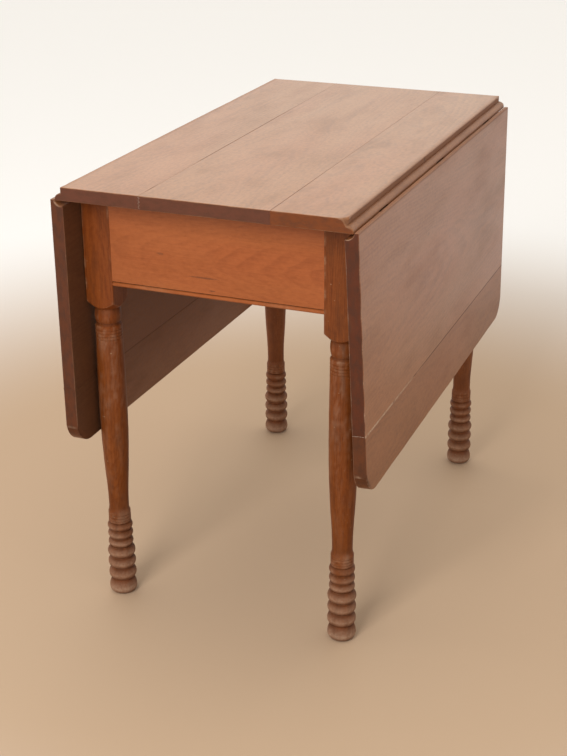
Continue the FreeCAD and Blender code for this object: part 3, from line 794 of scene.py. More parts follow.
def seamShows(side, y):
    # the left seam has opened along its middle and in one short crack in front, the right one in front
    if side == "right":
        return 0.55 - 0.35 * lift(*topBoards["rightSeamCloses"], y)
    opened = lift(*topBoards["leftSeamOpens"], y) * (1 - 0.85 * lift(*topBoards["leftSeamCloses"], y))
    crack = lift(topBoards["crackReach"], 0.0, abs(y - topBoards["leftCrack"]))
    return max(0.75 * opened, 0.8 * crack, 0.12)


def seamCorner(u, shows):
    # the upper arris of a board at its seam
    arris = topBoards["seamArris"] * (0.35 + 0.65 * shows)
    return Corner(u, boardThick, arris, seam=1, grime=topBoards["seamGrime"] * shows)


def sunkCorners(sunk):
    # the underside near the edge, cut out for a hinge's plate and barrel and for the swing of its other plate
    plate = hingePlate
    plateX = hingeX - plate["topReach"] - plate["slack"]
    barrelX = hingeX - hingeDrop - plate["barrelSlack"]
    barrelEndX = hingeX + hingeDrop + plate["barrelSlack"]
    plateDepth = plate["thick"] if sunk else 0.0
    barrelDepth = 2 * hingeDrop + plate["barrelSlack"] if sunk else 0.0
    swingDepth = plate["thick"] + plate["barrelSlack"] if sunk else 0.0
    below = (
        (plateX, 0, 1.0),
        (plateX + wallStep, plateDepth, 1.0),
        (barrelX, plateDepth, 1.0),
        (barrelX + wallStep, barrelDepth, 1.0),
        (barrelEndX, barrelDepth, 1.0),
        (barrelEndX + wallStep, swingDepth, 0.8),
    )
    corners = [Corner(x, depth, bare=bare) for x, depth, bare in below]
    return corners + [Corner(topEdgeX, swingDepth, topBoards["lowerArris"], bare=0.2)]


def roundedCorners():
    rounded = (ovoloRadius, topBoards["roundHeight"])
    # the rounded part darkens towards the wall: painted shade in the crease
    corners = arcCorners((hingeX, hingeDrop), rounded, 0, 84, 9, topBoards["roundGrime"])
    for corner in corners:
        corner.bare = topBoards["roundRubbed"]
    return corners


def wallCorners(board, station):
    # the wall that stands on the rounded part, broken away at one end of the right board; the wall and the
    # step at its foot are darkened with painted shade
    stepZ = hingeDrop + topBoards["roundHeight"]
    arris = wornRadius(topBoards["arris"], station, 11, board["chips"])
    heights = [stepZ + height for height in topBoards["brokenHeights"]]
    heights.append(boardThick - arris - topBoards["wallBelowArris"])
    broken = board["brokenCorner"] * lift(*topBoards["brokenReach"], station + endY)
    wear = topBoards["brokenWear"] * lift(0.0, topBoards["fullyWornAt"], broken)
    # the wall and its step are darker: painted shade
    bare, grime = topBoards["wallBare"], topBoards["wallGrime"]
    corners = [Corner(hingeX, stepZ, bare=bare, grime=topBoards["stepGrime"], wear=wear)]
    for share, z in zip(topBoards["brokenShares"], heights):
        corners.append(Corner(hingeX - broken * share, z, bare=bare, grime=grime, wear=wear))
    return corners + [Corner(hingeX - broken, boardThick, arris, 13, bare=0.3, wear=wear)]


def topEdgeCorners(side, seam):
    def cornersAt(station):
        corners = [Corner(seam, 0, topBoards["seamArris"], 8, seam=-1, bare=1.0)]
        corners += sunkCorners(isSunk(station)) + roundedCorners() + wallCorners(topBoards[side], station)
        corners.append(Corner(seam + topBoards["seamDirt"], boardThick))
        corners.append(seamCorner(seam, seamShows(side, station if side == "right" else -station)))
        return corners

    return cornersAt


def topMiddleCorners(station):
    low, high = leftSeamX + topBoards["seamGap"], rightSeamX - topBoards["seamGap"]
    dirt, arris = topBoards["seamDirt"], topBoards["seamArris"]
    return [
        Corner(low, 0, arris, 12, seam=-1, bare=1.0),
        Corner(high, 0, arris, seam=-1, bare=1.0),
        seamCorner(high, seamShows("right", station)),
        Corner(high - dirt, boardThick, pieces=14),
        Corner(low + dirt, boardThick),
        seamCorner(low, seamShows("left", station)),
    ]


def makeTopBoard(side, cornersAt, stations, toWorld):
    timber = Timber(f"{side}TopBoard")
    makeBar(timber, topBoards[side], cornersAt, stations, endY, topBoards["endRadius"], toWorld)
    timber.build(f"top_{side}_board", "frame", "top_wood", topWood)


for side, seam, toWorld in (("right", rightSeamX, onTop), ("left", -leftSeamX, onTopTurned)):
    edgeCorners = topEdgeCorners(side, seam + topBoards["seamGap"])
    makeTopBoard(side, edgeCorners, hingedStations(topBoards[side]), toWorld)
makeTopBoard("middle", topMiddleCorners, spacedStations(endY - spacing["fromEnd"]), onTop)
print("top made")


# the leaves: a wide board with the hollow half of the rule joint and a narrow one along the free edge
leaf = {
    "arris": 1.5 * mm,
    "endRadius": 1.4 * mm,
    "lowerArris": 0.3 * mm,
    "jointGap": 1.8 * mm,
    "sinkingSlack": 0.3 * mm,
    "dullLip": 4 * mm,
    "lipBare": 0.55,
    "lipGrime": 0.08,
    "cornerRadius": 42 * mm,
    "seamGap": 0.08 * mm,
    "seamArris": 0.35 * mm,
    "seamDirt": 1.3 * mm,
    "seamFadeShare": 1.6,
    "seamGrime": 0.75,
    # towards the front the seam's arris is pale: rubbed wear and a painted highlight
    "seamRubbedFrom": (-0.08, -0.30),
    "underSeamGrime": 0.3,
    # painted shade on the underside, towards both ends of the leaf
    "endStain": 0.66,
    "endStainFrom": (0.25, 0.37),
    "endStainRagged": 0.05,
    "right": {
        "wind": (0.25, 1.0),
        "inner": {
            "tint": 0.50,
            "rubbedSeam": 1.8,
            "pith": (0.17, -0.09),
            "shift": 15.0,
            "chips": [{"at": -0.30, "length": 7 * mm, "depth": 0.5 * mm}],
        },
        "outer": {
            "tint": 0.535,
            "dull": 0.2,
            "soil": 0.10,
            "rubbedSeam": 1.8,
            "pith": (0.36, 0.10),
            "shift": 19.0,
            "endChips": [{"end": -1, "at": (0.392, 12 * mm), "reach": 5 * mm, "depth": 1.5 * mm}],
        },
    },
    "left": {
        "wind": (0.0, 0.0),
        "inner": {
            "tint": 0.34,
            "rubbed": 0.35,
            "rubbedSeam": 0.0,
            "pith": (0.12, -0.10),
            "shift": 23.0,
            "chips": [{"at": 0.2, "length": 8 * mm, "depth": 0.6 * mm}],
            "endChips": [{"end": 1, "at": (8 * mm, 9 * mm), "reach": 6 * mm, "depth": 0.8 * mm}],
        },
        "outer": {
            "tint": 0.38,
            "rubbed": 0.35,
            "dull": 0.1,
            "soil": 0.0,
            "rubbedSeam": 0.0,
            "pith": (0.38, -0.12),
            "shift": 27.0,
        },
    },
}
leafFace = boardThick - hingeDrop


def hangLeaf(side):
    # from a raised leaf, with the hinge line as its origin, to the hanging one; an old leaf winds a little
    lean = 90 - joints[f"{side}_leaf_hinge"]["range_deg"][1]
    middle, twist = leaf[side]["wind"]
    facing = 1 if side == "right" else -1

    def toWorld(u, station, v):
        tilt = math.radians(lean + (middle - twist * station / endY))
        x = hingeX + u * math.sin(tilt) + v * math.cos(tilt)
        z = hingeZ - u * math.cos(tilt) + v * math.sin(tilt)
        return facing * x, facing * station, z

    return toWorld


def leafSeamMarks(board, station):
    # dirt lies in the seam, and towards the front its arris is pale: rubbed wear and a painted highlight
    rubbed = lift(*leaf["seamRubbedFrom"], station) * lift(0.2, 0.5, ripple(station * 45, 2.0, 6.0))
    rubbed *= board["rubbedSeam"]
    return {"wear": rubbed, "grime": leaf["seamGrime"] * max(1 - rubbed, 0.0)}


def underLeaf(station):
    # below, a leaf is bare wood, darkened with painted shade towards both ends
    ragged = abs(station) + leaf["endStainRagged"] * (ripple(station * 8, 4.0, 2.0) - 0.5)
    darkened = lift(*leaf["endStainFrom"], ragged)
    return {"bare": 1 - darkened, "grime": leaf["endStain"] * darkened}


def leafInnerCorners(board):
    cove = ovoloRadius + leaf["jointGap"]
    coveTop = math.sqrt(cove * cove - leaf["jointGap"] ** 2)
    coveStart = math.degrees(math.atan2(coveTop, leaf["jointGap"]))
    sinkingEnd = hingePlate["leafReach"] + hingePlate["slack"]
    seam = leafSeam - leaf["seamGap"]

    def cornersAt(station):
        floor = hingePlate["thick"] - hingeDrop + leaf["sinkingSlack"] if isSunk(station) else -hingeDrop
        arris = wornRadius(leaf["arris"], station, 5, board["chips"])
        under = underLeaf(station)
        bare, dark = under["bare"], under["grime"]
        seamDark = max(dark, leaf["underSeamGrime"])
        seamMarks = leafSeamMarks(board, station)
        corners = [
            Corner(cove, floor, leaf["lowerArris"], bare=0.8 * bare, grime=dark),
            Corner(sinkingEnd, floor, **under),
            Corner(sinkingEnd + wallStep, -hingeDrop, pieces=14, **under),
            Corner(seam - leaf["seamDirt"], -hingeDrop, **under),
            Corner(seam, -hingeDrop, leaf["seamArris"], seam=-1, bare=bare, grime=seamDark),
            Corner(seam, leafFace, leaf["seamArris"], seam=1, **seamMarks),
            Corner(seam - leaf["seamDirt"], leafFace, wear=seamMarks["wear"]),
            Corner(seam - leaf["seamFadeShare"] * leaf["seamDirt"], leafFace, pieces=18),
            Corner(leaf["jointGap"] + leaf["dullLip"], leafFace),
            Corner(leaf["jointGap"], leafFace, arris, bare=leaf["lipBare"], grime=leaf["lipGrime"]),
        ]
        return corners + arcCorners((0, 0), (cove, cove), coveStart, 2, 9)

    return cornersAt


def intoBend(station):
    # how far a station lies inside the leaf's rounded corners
    return max(abs(station) - (endY - leaf["cornerRadius"]), 0.0)


def bendSqueeze(station):
    # round its corners the leaf is drawn narrower, then let out, so that the arris stays even
    bend, into = leaf["cornerRadius"], intoBend(station)
    return math.sqrt(bend * bend - into * into) / bend


def leafOuterCorners(board):
    seam = leafSeam + leaf["seamGap"]
    bend = leaf["cornerRadius"]
    face = {"bare": board["dull"], "grime": board["soil"]}

    def cornersAt(station):
        squeeze = bendSqueeze(station)
        turned = lift(0.25, 0.95, intoBend(station) / bend)
        edge = (leafEdge - bend + bend * squeeze) * squeeze
        below = wornRadius(leaf["arris"], station, 2)
        above = wornRadius(leaf["arris"] * 1.2, station, 3)
        under = underLeaf(station)
        bare, dark = under["bare"], under["grime"]
        seamDark = max(dark, leaf["underSeamGrime"])
        atSeam, atDirt = seam * squeeze, (seam + leaf["seamDirt"]) * squeeze
        seamMarks = leafSeamMarks(board, station)
        return [
            Corner(atSeam, -hingeDrop, leaf["seamArris"], seam=-1, bare=bare, grime=seamDark),
            Corner(atDirt, -hingeDrop, pieces=6, **under),
            Corner(edge, -hingeDrop, below, 3, bare=0.5 * bare, grime=dark, ends=turned),
            Corner(edge, leafFace, above, 7, ends=turned, **face),
            Corner((seam + leaf["seamFadeShare"] * leaf["seamDirt"]) * squeeze, leafFace, **face),
            Corner(atDirt, leafFace, wear=seamMarks["wear"]),
            Corner(atSeam, leafFace, leaf["seamArris"], seam=1, **seamMarks),
        ]

    return cornersAt


def bentStations():
    bend = leaf["cornerRadius"]
    turns = [endY - bend + math.sin(math.radians(angle)) * bend for angle in range(0, 73, 6)]
    return [-turn for turn in reversed(turns)] + spacedStations(endY - bend - spacing["fromBend"]) + turns


def makeLeaf(side):
    inner, outer = leaf[side]["inner"], leaf[side]["outer"]
    body = f"{side}_leaf"
    plans = (
        ("Inner", inner, leafInnerCorners(inner), hingedStations(inner), None),
        ("Outer", outer, leafOuterCorners(outer), bentStations(), bendSqueeze),
    )
    for name, board, cornersAt, stations, squeezeAt in plans:
        timber = Timber(f"{side}Leaf{name}Board")
        makeBar(timber, board, cornersAt, stations, endY, leaf["endRadius"], hangLeaf(side), squeezeAt)
        timber.build(f"{body}_{name.lower()}_board", body, "leaf_wood", leafWoods[side])


for side in ("right", "left"):
    makeLeaf(side)
print("leaves made")


# old pale filler in the seams, where it shows on the end of the top and of the right leaf
filler = {
    "proud": 0.15 * mm,
    "deep": 0.6 * mm,
    "width": 0.45 * mm,
    "topPath": [(0, 19.6), (2.2, 17.5), (-1.2, 15), (2.4, 12), (-0.6, 9.5), (2.3, 7), (-0.4, 4.5), (1.6, 2)],
    "leafPath": [(0, 17.2), (0.4, 13), (-0.2, 9), (0.3, 4), (0, 0), (0.3, -2.3)],
}


def makeFiller(name, path, seam, toWorld, body):
    points, loops = [], []
    front, back = -filler["proud"] - endY, filler["deep"] - endY
    for number, (off, height) in enumerate(path):
        half = filler["width"] * (0.25 + 0.5 * ripple(number * 1.7, 3.0, 5.0))
        loops.append(range(4 * number, 4 * number + 4))
        for sideways, station in ((-1, front), (1, front), (1, back), (-1, back)):
            points.append(toWorld(seam + off * mm + sideways * half, station, height * mm))
    addPiece(name, points, loops, paleFiller, body)


makeFiller("topSeamFiller", filler["topPath"], leftSeamX, onTop, "frame")
makeFiller("leafSeamFiller", filler["leafPath"], leafSeam, hangLeaf("right"), "right_leaf")
print("seam filler made")


# the turned legs, from the floor up, in millimetres as a turner would measure them
turning = {
    "foot": {"height": 25.5, "widestAt": 10.5, "baseRadius": 17.0, "radius": 23.2},
    "largeRings": {"heights": (22.2, 20.0, 20.3), "radius": 23.2, "groove": 18.2, "land": 2.2},
    "smallRings": {"heights": (15.2, 15.6, 15.2), "radius": 20.8, "groove": 17.0, "land": 1.8},
    "collar": {"height": 19.0, "radius": 18.5, "scribes": 3, "firstScribe": 4.0},
    "waist": {"height": 9.0, "radius": 16.4},
    "belly": {"radius": 22.7, "heightShare": 0.565, "waistCurveShare": 0.27},
    "band": {
        "height": 26.0,
        "radius": 21.4,
        "scribes": 4,
        "firstScribe": 4.0,
        "edgeBelow": 0.5,
        "edgeAbove": 0.4,
        "edgeDepth": 0.9,
    },
    "scribe": {"pitch": 5.2, "width": 1.5, "depth": 0.8},
    "step": 0.3,
    "shoulder": 2.0,
    "neckGroove": {"height": 3.5, "radius": 18.9},
    "neck": {"height": 24.0, "endRadius": 19.8, "radius": 21.2, "lip": 0.4, "lipDepth": 0.2},
    "block": {
        "length": 188.0,
        "arris": 1.7,
        "rows": 30,
        "bevelShares": (0.35, 0.7, 0.92, 1.0),
        "bevelSunk": 0.25,
        "bevelLip": 0.8,
        # the top of the block darkens over shadedTop: painted shade under the table top
        "shadedTop": 9,
        "shadedGrime": 0.5,
    },
    "pithReach": (26, 30),
    "pithTurn": 1.7,
    "shift": 40.0,
    "shiftPerSeed": 2.0,
    "unevenness": 0.22,
    "ringsTop": 150,
    "ringUnevenness": 2.2,
    # paler crests on the rings and the shaft: rubbed wear and a painted highlight
    "ringRub": 0.6,
    "shaftRub": 0.5,
    "bareBelow": (172, 85),
    "bareRagged": 60,
    "soiledFoot": (30, 20),
    "handled": (260, 430),
    "rubbedShare": 0.27,
    "grooveKeeps": 0.9,
    "fadedShare": {"front": 0.0, "back": 0.15},
    # the back legs' higher tints are painted light: they are drawn paler, as if lit from the bright wall
    # behind
    "tints": {"front_left": 0.52, "front_right": 0.50, "back_left": 0.80, "back_right": 0.74},
    "seeds": {"front_left": 1, "front_right": 11, "back_left": 3, "back_right": 13},
}


class Profile:
    # the turner's outline: heights and radii, with the dirt that gathers at each

    def __init__(self):
        self.rows = []

    def to(self, height, radius, grime=0.0):
        self.rows.append((height, radius, grime))

    def swell(self, height, radius, steps, apexAtEnd, grime=0.0):
        # an arc from the last row, upright at its widest or narrowest end
        startZ, startRadius, startGrime = self.rows[-1]
        rise, reach = abs(radius - startRadius), abs(height - startZ)
        bow = (rise * rise + reach * reach) / (2 * rise)
        apexZ, apexRadius = (height, radius) if apexAtEnd else (startZ, startRadius)
        towards = -1 if (radius > startRadius) == apexAtEnd else 1
        sweep = math.asin(reach / bow)
        for step in range(1, steps + 1):
            share = step / steps
            angle = sweep * ((1 - share) if apexAtEnd else share)
            off = bow * math.sin(angle)
            z = apexZ - off if apexAtEnd else apexZ + off
            dirt = startGrime + (grime - startGrime) * share
            self.to(z, apexRadius + towards * bow * (1 - math.cos(angle)), dirt)

    def rings(self, rings):
        # beads between narrow lands
        groove, land = rings["groove"], rings["land"]
        for height in rings["heights"]:
            floor = self.rows[-1][0]
            self.to(floor + land / 2, groove, 0.8)
            self.swell(floor + height / 2, rings["radius"], 7, True)
            self.swell(floor + height - land / 2, groove, 7, False, 0.8)
            self.to(floor + height, groove, 0.6)
        return self.rows[-1][0]

    def scribes(self, piece, floor):
        # fine lines cut round a cylinder
        scribe, radius = turning["scribe"], piece["radius"]
        for number in range(piece["scribes"]):
            middle = floor + piece["firstScribe"] + scribe["pitch"] * number
            self.to(middle - scribe["width"] / 2, radius)
            self.to(middle, radius - scribe["depth"], 0.45)
            self.to(middle + scribe["width"] / 2, radius)


def turnedProfile(blockFloor):
    foot, largeRings, smallRings = (turning[name] for name in ("foot", "largeRings", "smallRings"))
    collar, belly, band = (turning[name] for name in ("collar", "belly", "band"))
    neck, neckGroove = turning["neck"], turning["neckGroove"]
    thin = turning["waist"]["radius"]
    outline = Profile()
    outline.to(0.0, foot["baseRadius"], 0.5)
    outline.swell(foot["widestAt"], foot["radius"], 6, True)
    outline.swell(foot["height"], largeRings["groove"], 7, False, 0.85)
    level = outline.rings(largeRings)
    outline.to(level + turning["step"], smallRings["groove"], 0.85)
    level = outline.rings(smallRings)
    outline.to(level + turning["step"], collar["radius"], 0.5)
    outline.scribes(collar, level)
    outline.to(level + collar["height"], collar["radius"])
    waistZ = level + collar["height"] + turning["waist"]["height"]
    outline.swell(waistZ, thin, 5, True, 0.3)
    neckFloor = blockFloor - neck["height"]
    shaftTop = neckFloor - neckGroove["height"] - turning["shoulder"]
    bandZ = shaftTop - band["height"]
    bellyZ = waistZ + (shaftTop - waistZ) * belly["heightShare"]
    curve = belly["waistCurveShare"]
    outline.swell(waistZ + (bellyZ - waistZ) * curve, thin + (belly["radius"] - thin) * curve, 10, False)
    outline.swell(bellyZ, belly["radius"], 20, True)
    outline.swell(bandZ, band["radius"], 14, False)
    outline.scribes(band, bandZ)
    outline.to(shaftTop - band["edgeBelow"], band["radius"])
    outline.to(shaftTop + band["edgeAbove"], band["radius"] - band["edgeDepth"])
    outline.to(shaftTop + turning["shoulder"], neckGroove["radius"], 0.7)
    outline.to(neckFloor, neckGroove["radius"], 0.8)
    outline.to(neckFloor + neck["lip"], neck["endRadius"] - neck["lipDepth"], 0.3)
    outline.swell(neckFloor + neck["height"] / 2, neck["radius"], 5, True)
    outline.swell(blockFloor, neck["endRadius"], 5, False, 0.75)
    return outline.rows


def blockAngles():
    # columns round the leg, closer together at the corners of the block
    eighth = [0, 7, 14, 21, 28, 34, 39, 42.4, 43.0, 43.7, 44.35]
    quarter = eighth + [45] + [90 - angle for angle in reversed(eighth[1:])]
    return [math.radians(angle + 90 * turn) for turn in range(4) for angle in quarter]


def squareReach(angle, half, arris):
    # distance from the middle of a square with rounded corners to its side
    fold = abs((angle + math.pi / 4) % (math.pi / 2) - math.pi / 4)
    inner = half - arris
    if math.tan(fold) <= inner / half:
        return half / math.cos(fold)
    lean = math.cos(fold) + math.sin(fold)
    return inner * lean + math.sqrt(max(inner * inner * (lean * lean - 2) + arris * arris, 0.0))


def roundLeg(angle, often, third):
    # where a point of a leg lies in the noise, which has this many swings round it
    return math.cos(angle) * often, math.sin(angle) * often, third


class Leg:
    # one leg under construction, measured in millimetres from the floor

    def __init__(self, end, side):
        low, high = boxOf[f"{end}_{side}_leg"]
        self.middle = (low + high) / 2
        self.half = (high.x - low.x) / 2 / mm
        self.blockTop = undersideZ / mm
        self.blockFloor = self.blockTop - turning["block"]["length"]
        self.angles = blockAngles()
        self.faded = turning["fadedShare"][end]
        # the back legs' higher tint is painted light
        self.tint, self.seed = (turning[name][f"{end}_{side}"] for name in ("tints", "seeds"))
        wide, deep = turning["pithReach"]
        turn = self.seed * turning["pithTurn"]
        self.pith = (wide * mm * math.cos(turn), deep * mm * math.sin(turn))
        self.timber = Timber(f"{end}{side.capitalize()}Leg")

    def point(self, height, radius, angle, grime, wear, bare):
        x, y = radius * math.cos(angle) * mm, radius * math.sin(angle) * mm
        along = height * mm + turning["shift"] + self.seed * turning["shiftPerSeed"]
        grain = (x - self.pith[0], along, y - self.pith[1])
        place = (self.middle.x + x, self.middle.y + y, height * mm)
        return self.timber.point(place, grain, (wear, grime, bare, self.tint))

    def goneFinish(self, height, angle):
        # the finish has gone from the feet upwards, and in patches where hands and knees have rubbed
        patch = ripple(*roundLeg(angle, 1.5, height * 0.03 + self.seed))
        rubbed = 0.6 * ripple(*roundLeg(angle, 2.2, height * 0.02 + self.seed * 4))
        rubbed += 0.4 * ripple(*roundLeg(angle, 6, height * 0.12 + self.seed * 7))
        upper = turning["rubbedShare"] * lift(0.42, 0.75, rubbed)
        upper *= 0.35 + 0.65 * lift(*turning["handled"], height)
        lower = lift(*turning["bareBelow"], height + turning["bareRagged"] * (patch - 0.5))
        lower *= 0.74 + 0.26 * lift(*turning["soiledFoot"], height)
        return max(lower, upper, self.faded)

    def addTurned(self):
        # everything below the block
        rows = turnedProfile(self.blockFloor)
        for number, (height, radius, grime) in enumerate(rows):
            before = rows[max(number - 1, 0)][1]
            after = rows[min(number + 1, len(rows) - 1)][1]
            crest = lift(0.0, 0.8, 2 * radius - before - after)
            onRings = height < turning["ringsTop"]
            # the rings are less even than the shaft, and the sole of the foot is flat
            swings = turning["unevenness"] if height else 0.0
            swings *= turning["ringUnevenness"] if onRings else 1.0
            loop = []
            for angle in self.angles:
                uneven = swings * noise.noise(Vector(roundLeg(angle, 1.3, height * 0.05 + self.seed * 9)))
                # the crests are paler: rubbed wear and a painted highlight
                rub = crest * lift(0.4, 0.8, ripple(*roundLeg(angle, 4, height * 0.2 + self.seed)))
                rub *= turning["ringRub"] if onRings else turning["shaftRub"]
                dirt = grime * (0.25 + 0.45 * ripple(*roundLeg(angle, 3, height * 0.1)))
                # the finish has lasted in the grooves
                bare = self.goneFinish(height, angle) * (1 - turning["grooveKeeps"] * min(grime / 0.8, 1.0))
                loop.append(self.point(height, radius + uneven, angle, dirt, rub, bare))
            self.timber.loops.append(loop)

    def bevelEnd(self, angle):
        # the turned bevel runs out to the square block, further up at its corners than at its faces
        reach = squareReach(angle, self.half, turning["block"]["arris"])
        return self.blockFloor + reach - turning["neck"]["endRadius"]

    def bevelSpot(self, angle, share):
        # height, radius and rubbing at a share of the bevel
        height = self.blockFloor + (self.bevelEnd(angle) - self.blockFloor) * share
        radius = turning["neck"]["endRadius"] + height - self.blockFloor
        if share < 1:
            return height, radius, 0.0
        return height, radius - turning["block"]["bevelSunk"], 0.8

    def blockSpot(self, angle, share):
        # the same at a share of the way from there to the top
        first = self.bevelEnd(angle) + turning["block"]["bevelLip"]
        height = first + (self.blockTop - first) * share
        quarter = angle // (math.pi / 2)
        worn = turning["block"]["arris"] * (0.6 + 0.8 * ripple(height * 0.025, quarter * 4.0, self.seed))
        rub = lift(0.10, 0.02, abs(angle % (math.pi / 2) - math.pi / 4))
        return height, squareReach(angle, self.half, worn), rub

    def addBlock(self):
        block = turning["block"]
        rows = [(self.bevelSpot, share) for share in block["bevelShares"]]
        rows += [(self.blockSpot, row / block["rows"]) for row in range(block["rows"] + 1)]
        for spotAt, share in rows:
            loop = []
            for angle in self.angles:
                height, radius, rub = spotAt(angle, share)
                quarter = angle // (math.pi / 2)
                rub *= lift(0.35, 0.8, ripple(height * 0.06, quarter * 3.0 + angle, self.seed + 5.0))
                # painted shade: darker towards the top of the block, under the table top
                dirt = lift(self.blockTop - block["shadedTop"], self.blockTop, height) * block["shadedGrime"]
                loop.append(self.point(height, radius, angle, dirt, rub, self.faded))
            self.timber.loops.append(loop)


def makeLeg(end, side):
    leg = Leg(end, side)
    leg.addTurned()
    leg.addBlock()
    leg.timber.build(f"{end}_{side}_leg", "frame", "frame_wood", legWood)


for end in ("front", "back"):
    for side in ("right", "left"):
        makeLeg(end, side)
print("legs made")


# the end rails, with a bead and a narrow sinking above it along the lower edge
railLow, railHigh = boxOf["front_end_rail"]
endRail = {
    "thick": railHigh[1] - railLow[1],
    "height": railHigh[2] - railLow[2],
    "endRadius": 0.2 * mm,
    "upperArris": 0.2 * mm,
    "innerArris": 0.6 * mm,
    "sinkingArris": 0.5 * mm,
    "sinkingWaver": 0.12 * mm,
    # the outer face darkens over this height below its top: painted shade under the overhang of the table top
    "shadedTop": 12 * mm,
    "beadRadius": 3.4 * mm,
    "sinking": 1.5 * mm,
    "intoLeg": 0.4 * mm,
    "front": {"tint": 0.55, "pith": (-0.06, 0.062), "shift": 60.0},
    "back": {"tint": 0.45, "pith": (-0.06, 0.03), "shift": 66.0},
}


def endRailCorners(station):
    thick, height, bead = endRail["thick"], endRail["height"], endRail["beadRadius"]
    arris = endRail["upperArris"]
    wavy = endRail["sinkingWaver"] * (ripple(station * 30, 2.0, 1.0) - 0.5)
    sinkingTop = 2 * bead + endRail["sinking"] + wavy
    corners = [
        Corner(thick, 0, endRail["innerArris"], 4, bare=1.0),
        Corner(thick, height, arris, bare=1.0),
        # painted shade under the overhang of the table top, fading down to the next point
        Corner(0, height, arris, grime=0.35),
        Corner(0, height - endRail["shadedTop"], pieces=8),
        Corner(0, sinkingTop, endRail["sinkingArris"]),
        Corner(bead, sinkingTop, grime=0.9),
        Corner(bead * 0.9, 2 * bead, grime=0.8),
    ]
    # the pale wear along the bead is a painted highlight
    for corner in arcCorners((bead, bead), (bead, bead), 105, 270, 9):
        corner.wear = 0.35 * lift(0.45, 0.75, ripple(station * 14, 6.0, 3.0))
        corners.append(corner)
    return corners


def makeEndRail(end):
    inward = 1 if end == "front" else -1
    faceY = railLow[1] if end == "front" else boxOf["back_end_rail"][1][1]
    reach = boxOf["front_right_leg"][0][0] + endRail["intoLeg"]
    softness = endRail["endRadius"]

    def toWorld(u, station, v):
        return station, faceY + inward * u, railLow[2] + v

    timber = Timber(f"{end}EndRail")
    stations = spacedStations(reach - 2 * softness)
    makeBar(timber, endRail[end], endRailCorners, stations, reach, softness, toWorld)
    timber.build(f"{end}_end_rail", "frame", "frame_wood", apronWood)


for end in ("front", "back"):
    makeEndRail(end)
print("end rails made")


# the solids that show as they are get softened edges and their finish
carried = {
    "weldWithin": 0.005 * mm,
    "bevelSegments": 2,
    "sharperThan": 40,
    "inner_wood": {"material": innerWood, "arris": 0.7 * mm},
    "hinge_iron": {"material": hingeIron, "arris": 0.25 * mm},
    "screw_steel": {"material": screwSteel, "arris": 0.0},
}
for row in frame["record"]["subparts"]:
    solid = frame["nodes"][row["node"]]
    if solid.hide_render:
        continue
    wanted = carried[row["material_slot"]]
    solid.data.materials.clear()
    solid.data.materials.append(wanted["material"])
    weld = solid.modifiers.new("weld", "WELD")
    weld.merge_threshold = carried["weldWithin"]
    if wanted["arris"]:
        bevel = solid.modifiers.new("arris", "BEVEL")
        bevel.width = wanted["arris"]
        bevel.segments = carried["bevelSegments"]
        bevel.limit_method = "ANGLE"
        bevel.angle_limit = math.radians(carried["sharperThan"])
        bevel.harden_normals = True
print("carried solids finished")


# camera, as fitted to the straight edges of the table
shot = {
    "place": (0.879, -2.239, 1.317),
    "azimuth": -22.33,
    "downTilt": 23.20,
    "roll": -0.44,
    "focalPixels": 1462.7,
    "imageHeight": 756,
    "filmHeight": 36.0,
}


def makeCamera(shot):
    data = bpy.data.cameras.new("photoCamera")
    data.sensor_fit = "AUTO"
    data.sensor_width = shot["filmHeight"]
    data.lens = shot["focalPixels"] / shot["imageHeight"] * shot["filmHeight"]
    camera = bpy.data.objects.new("photoCamera", data)
    matrix = Matrix.Translation(shot["place"])
    for degrees, axis in ((-shot["azimuth"], "Z"), (90 - shot["downTilt"], "X"), (shot["roll"], "Z")):
        matrix = matrix @ Matrix.Rotation(math.radians(degrees), 4, axis)
    camera.matrix_world = matrix
    bpy.context.scene.collection.objects.link(camera)
    bpy.context.scene.camera = camera


makeCamera(shot)
print("camera placed")


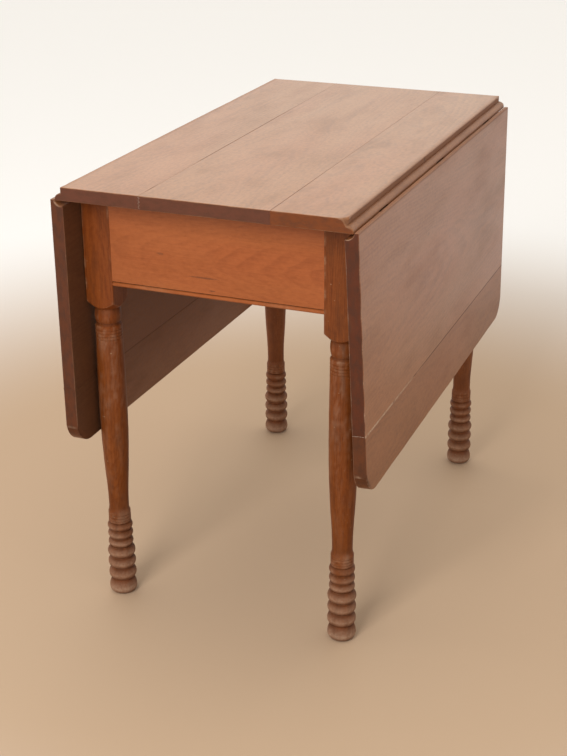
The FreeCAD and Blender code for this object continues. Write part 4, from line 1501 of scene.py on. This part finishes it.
# plain pale floor, even surroundings and one broad window
studio = {
    "floorReach": 150.0,
    "floorNear": (0.49, 0.345, 0.226),
    "floorFar": (0.94, 0.945, 0.955),
    "floorFade": (0.7, 2.0),
    "skyFront": (0.66, 0.64, 0.62),
    "skyBack": (1.30, 1.22, 1.09),
    "skyRight": (0.55, 0.53, 0.51),
    "skyRim": (0.90, 0.885, 0.87),
    "rimHeight": 0.2,
    "windowPlace": (-0.25, -3.7, 2.7),
    "windowTarget": (0, 0, 0.5),
    "windowSpread": (1.5, 1.9),
    "softWatts": 93,
    "shineWatts": 24,
}


def makeFloor(reach):
    corners = [(-reach, -reach, 0), (reach, -reach, 0), (reach, reach, 0), (-reach, reach, 0)]
    mesh = bpy.data.meshes.new("floor")
    mesh.from_pydata(corners, [], [(0, 1, 2, 3)])
    floor = bpy.data.objects.new("floor", mesh)
    finish = Finish("floor")
    x, y, _ = finish.split(finish.place())
    away = (x * x + y * y).root().ramp(*studio["floorFade"])
    colour = finish.mix(away, studio["floorNear"], studio["floorFar"])
    mesh.materials.append(finish.set(BaseColor=colour, Roughness=0.7))
    bpy.context.scene.collection.objects.link(floor)


def makeSky():
    world = bpy.data.worlds.new("studio")
    bpy.context.scene.world = world
    world.use_nodes = True
    sky = Nodes(world.node_tree)
    sideways, towards, upwards = sky.split(sky.add("ShaderNodeTexCoord"))
    around = sky.mix(towards.ramp(-0.8, 0.6), studio["skyFront"], studio["skyBack"])
    around = sky.mix(sideways.ramp(0.2, 0.9), around, studio["skyRight"])
    around = sky.mix(upwards.ramp(0.0, studio["rimHeight"]), studio["skyRim"], around)
    sky.feed(world.node_tree.nodes["Background"].inputs[0], around)


def makeWindow(name, watts, shines):
    data = bpy.data.lights.new(name, "AREA")
    data.shape = "RECTANGLE"
    data.size, data.size_y = studio["windowSpread"]
    data.energy = watts
    lamp = bpy.data.objects.new(name, data)
    lamp.location = studio["windowPlace"]
    lamp.rotation_euler = (Vector(studio["windowTarget"]) - lamp.location).to_track_quat("-Z", "Y").to_euler()
    lamp.visible_glossy = shines
    bpy.context.scene.collection.objects.link(lamp)


bpy.context.scene.view_settings.view_transform = "Standard"
makeFloor(studio["floorReach"])
makeSky()
# most of the window's light is kept out of the shine, so that the top doesn't glare from behind
makeWindow("softWindow", studio["softWatts"], False)
makeWindow("shineWindow", studio["shineWatts"], True)
print("studio lit")
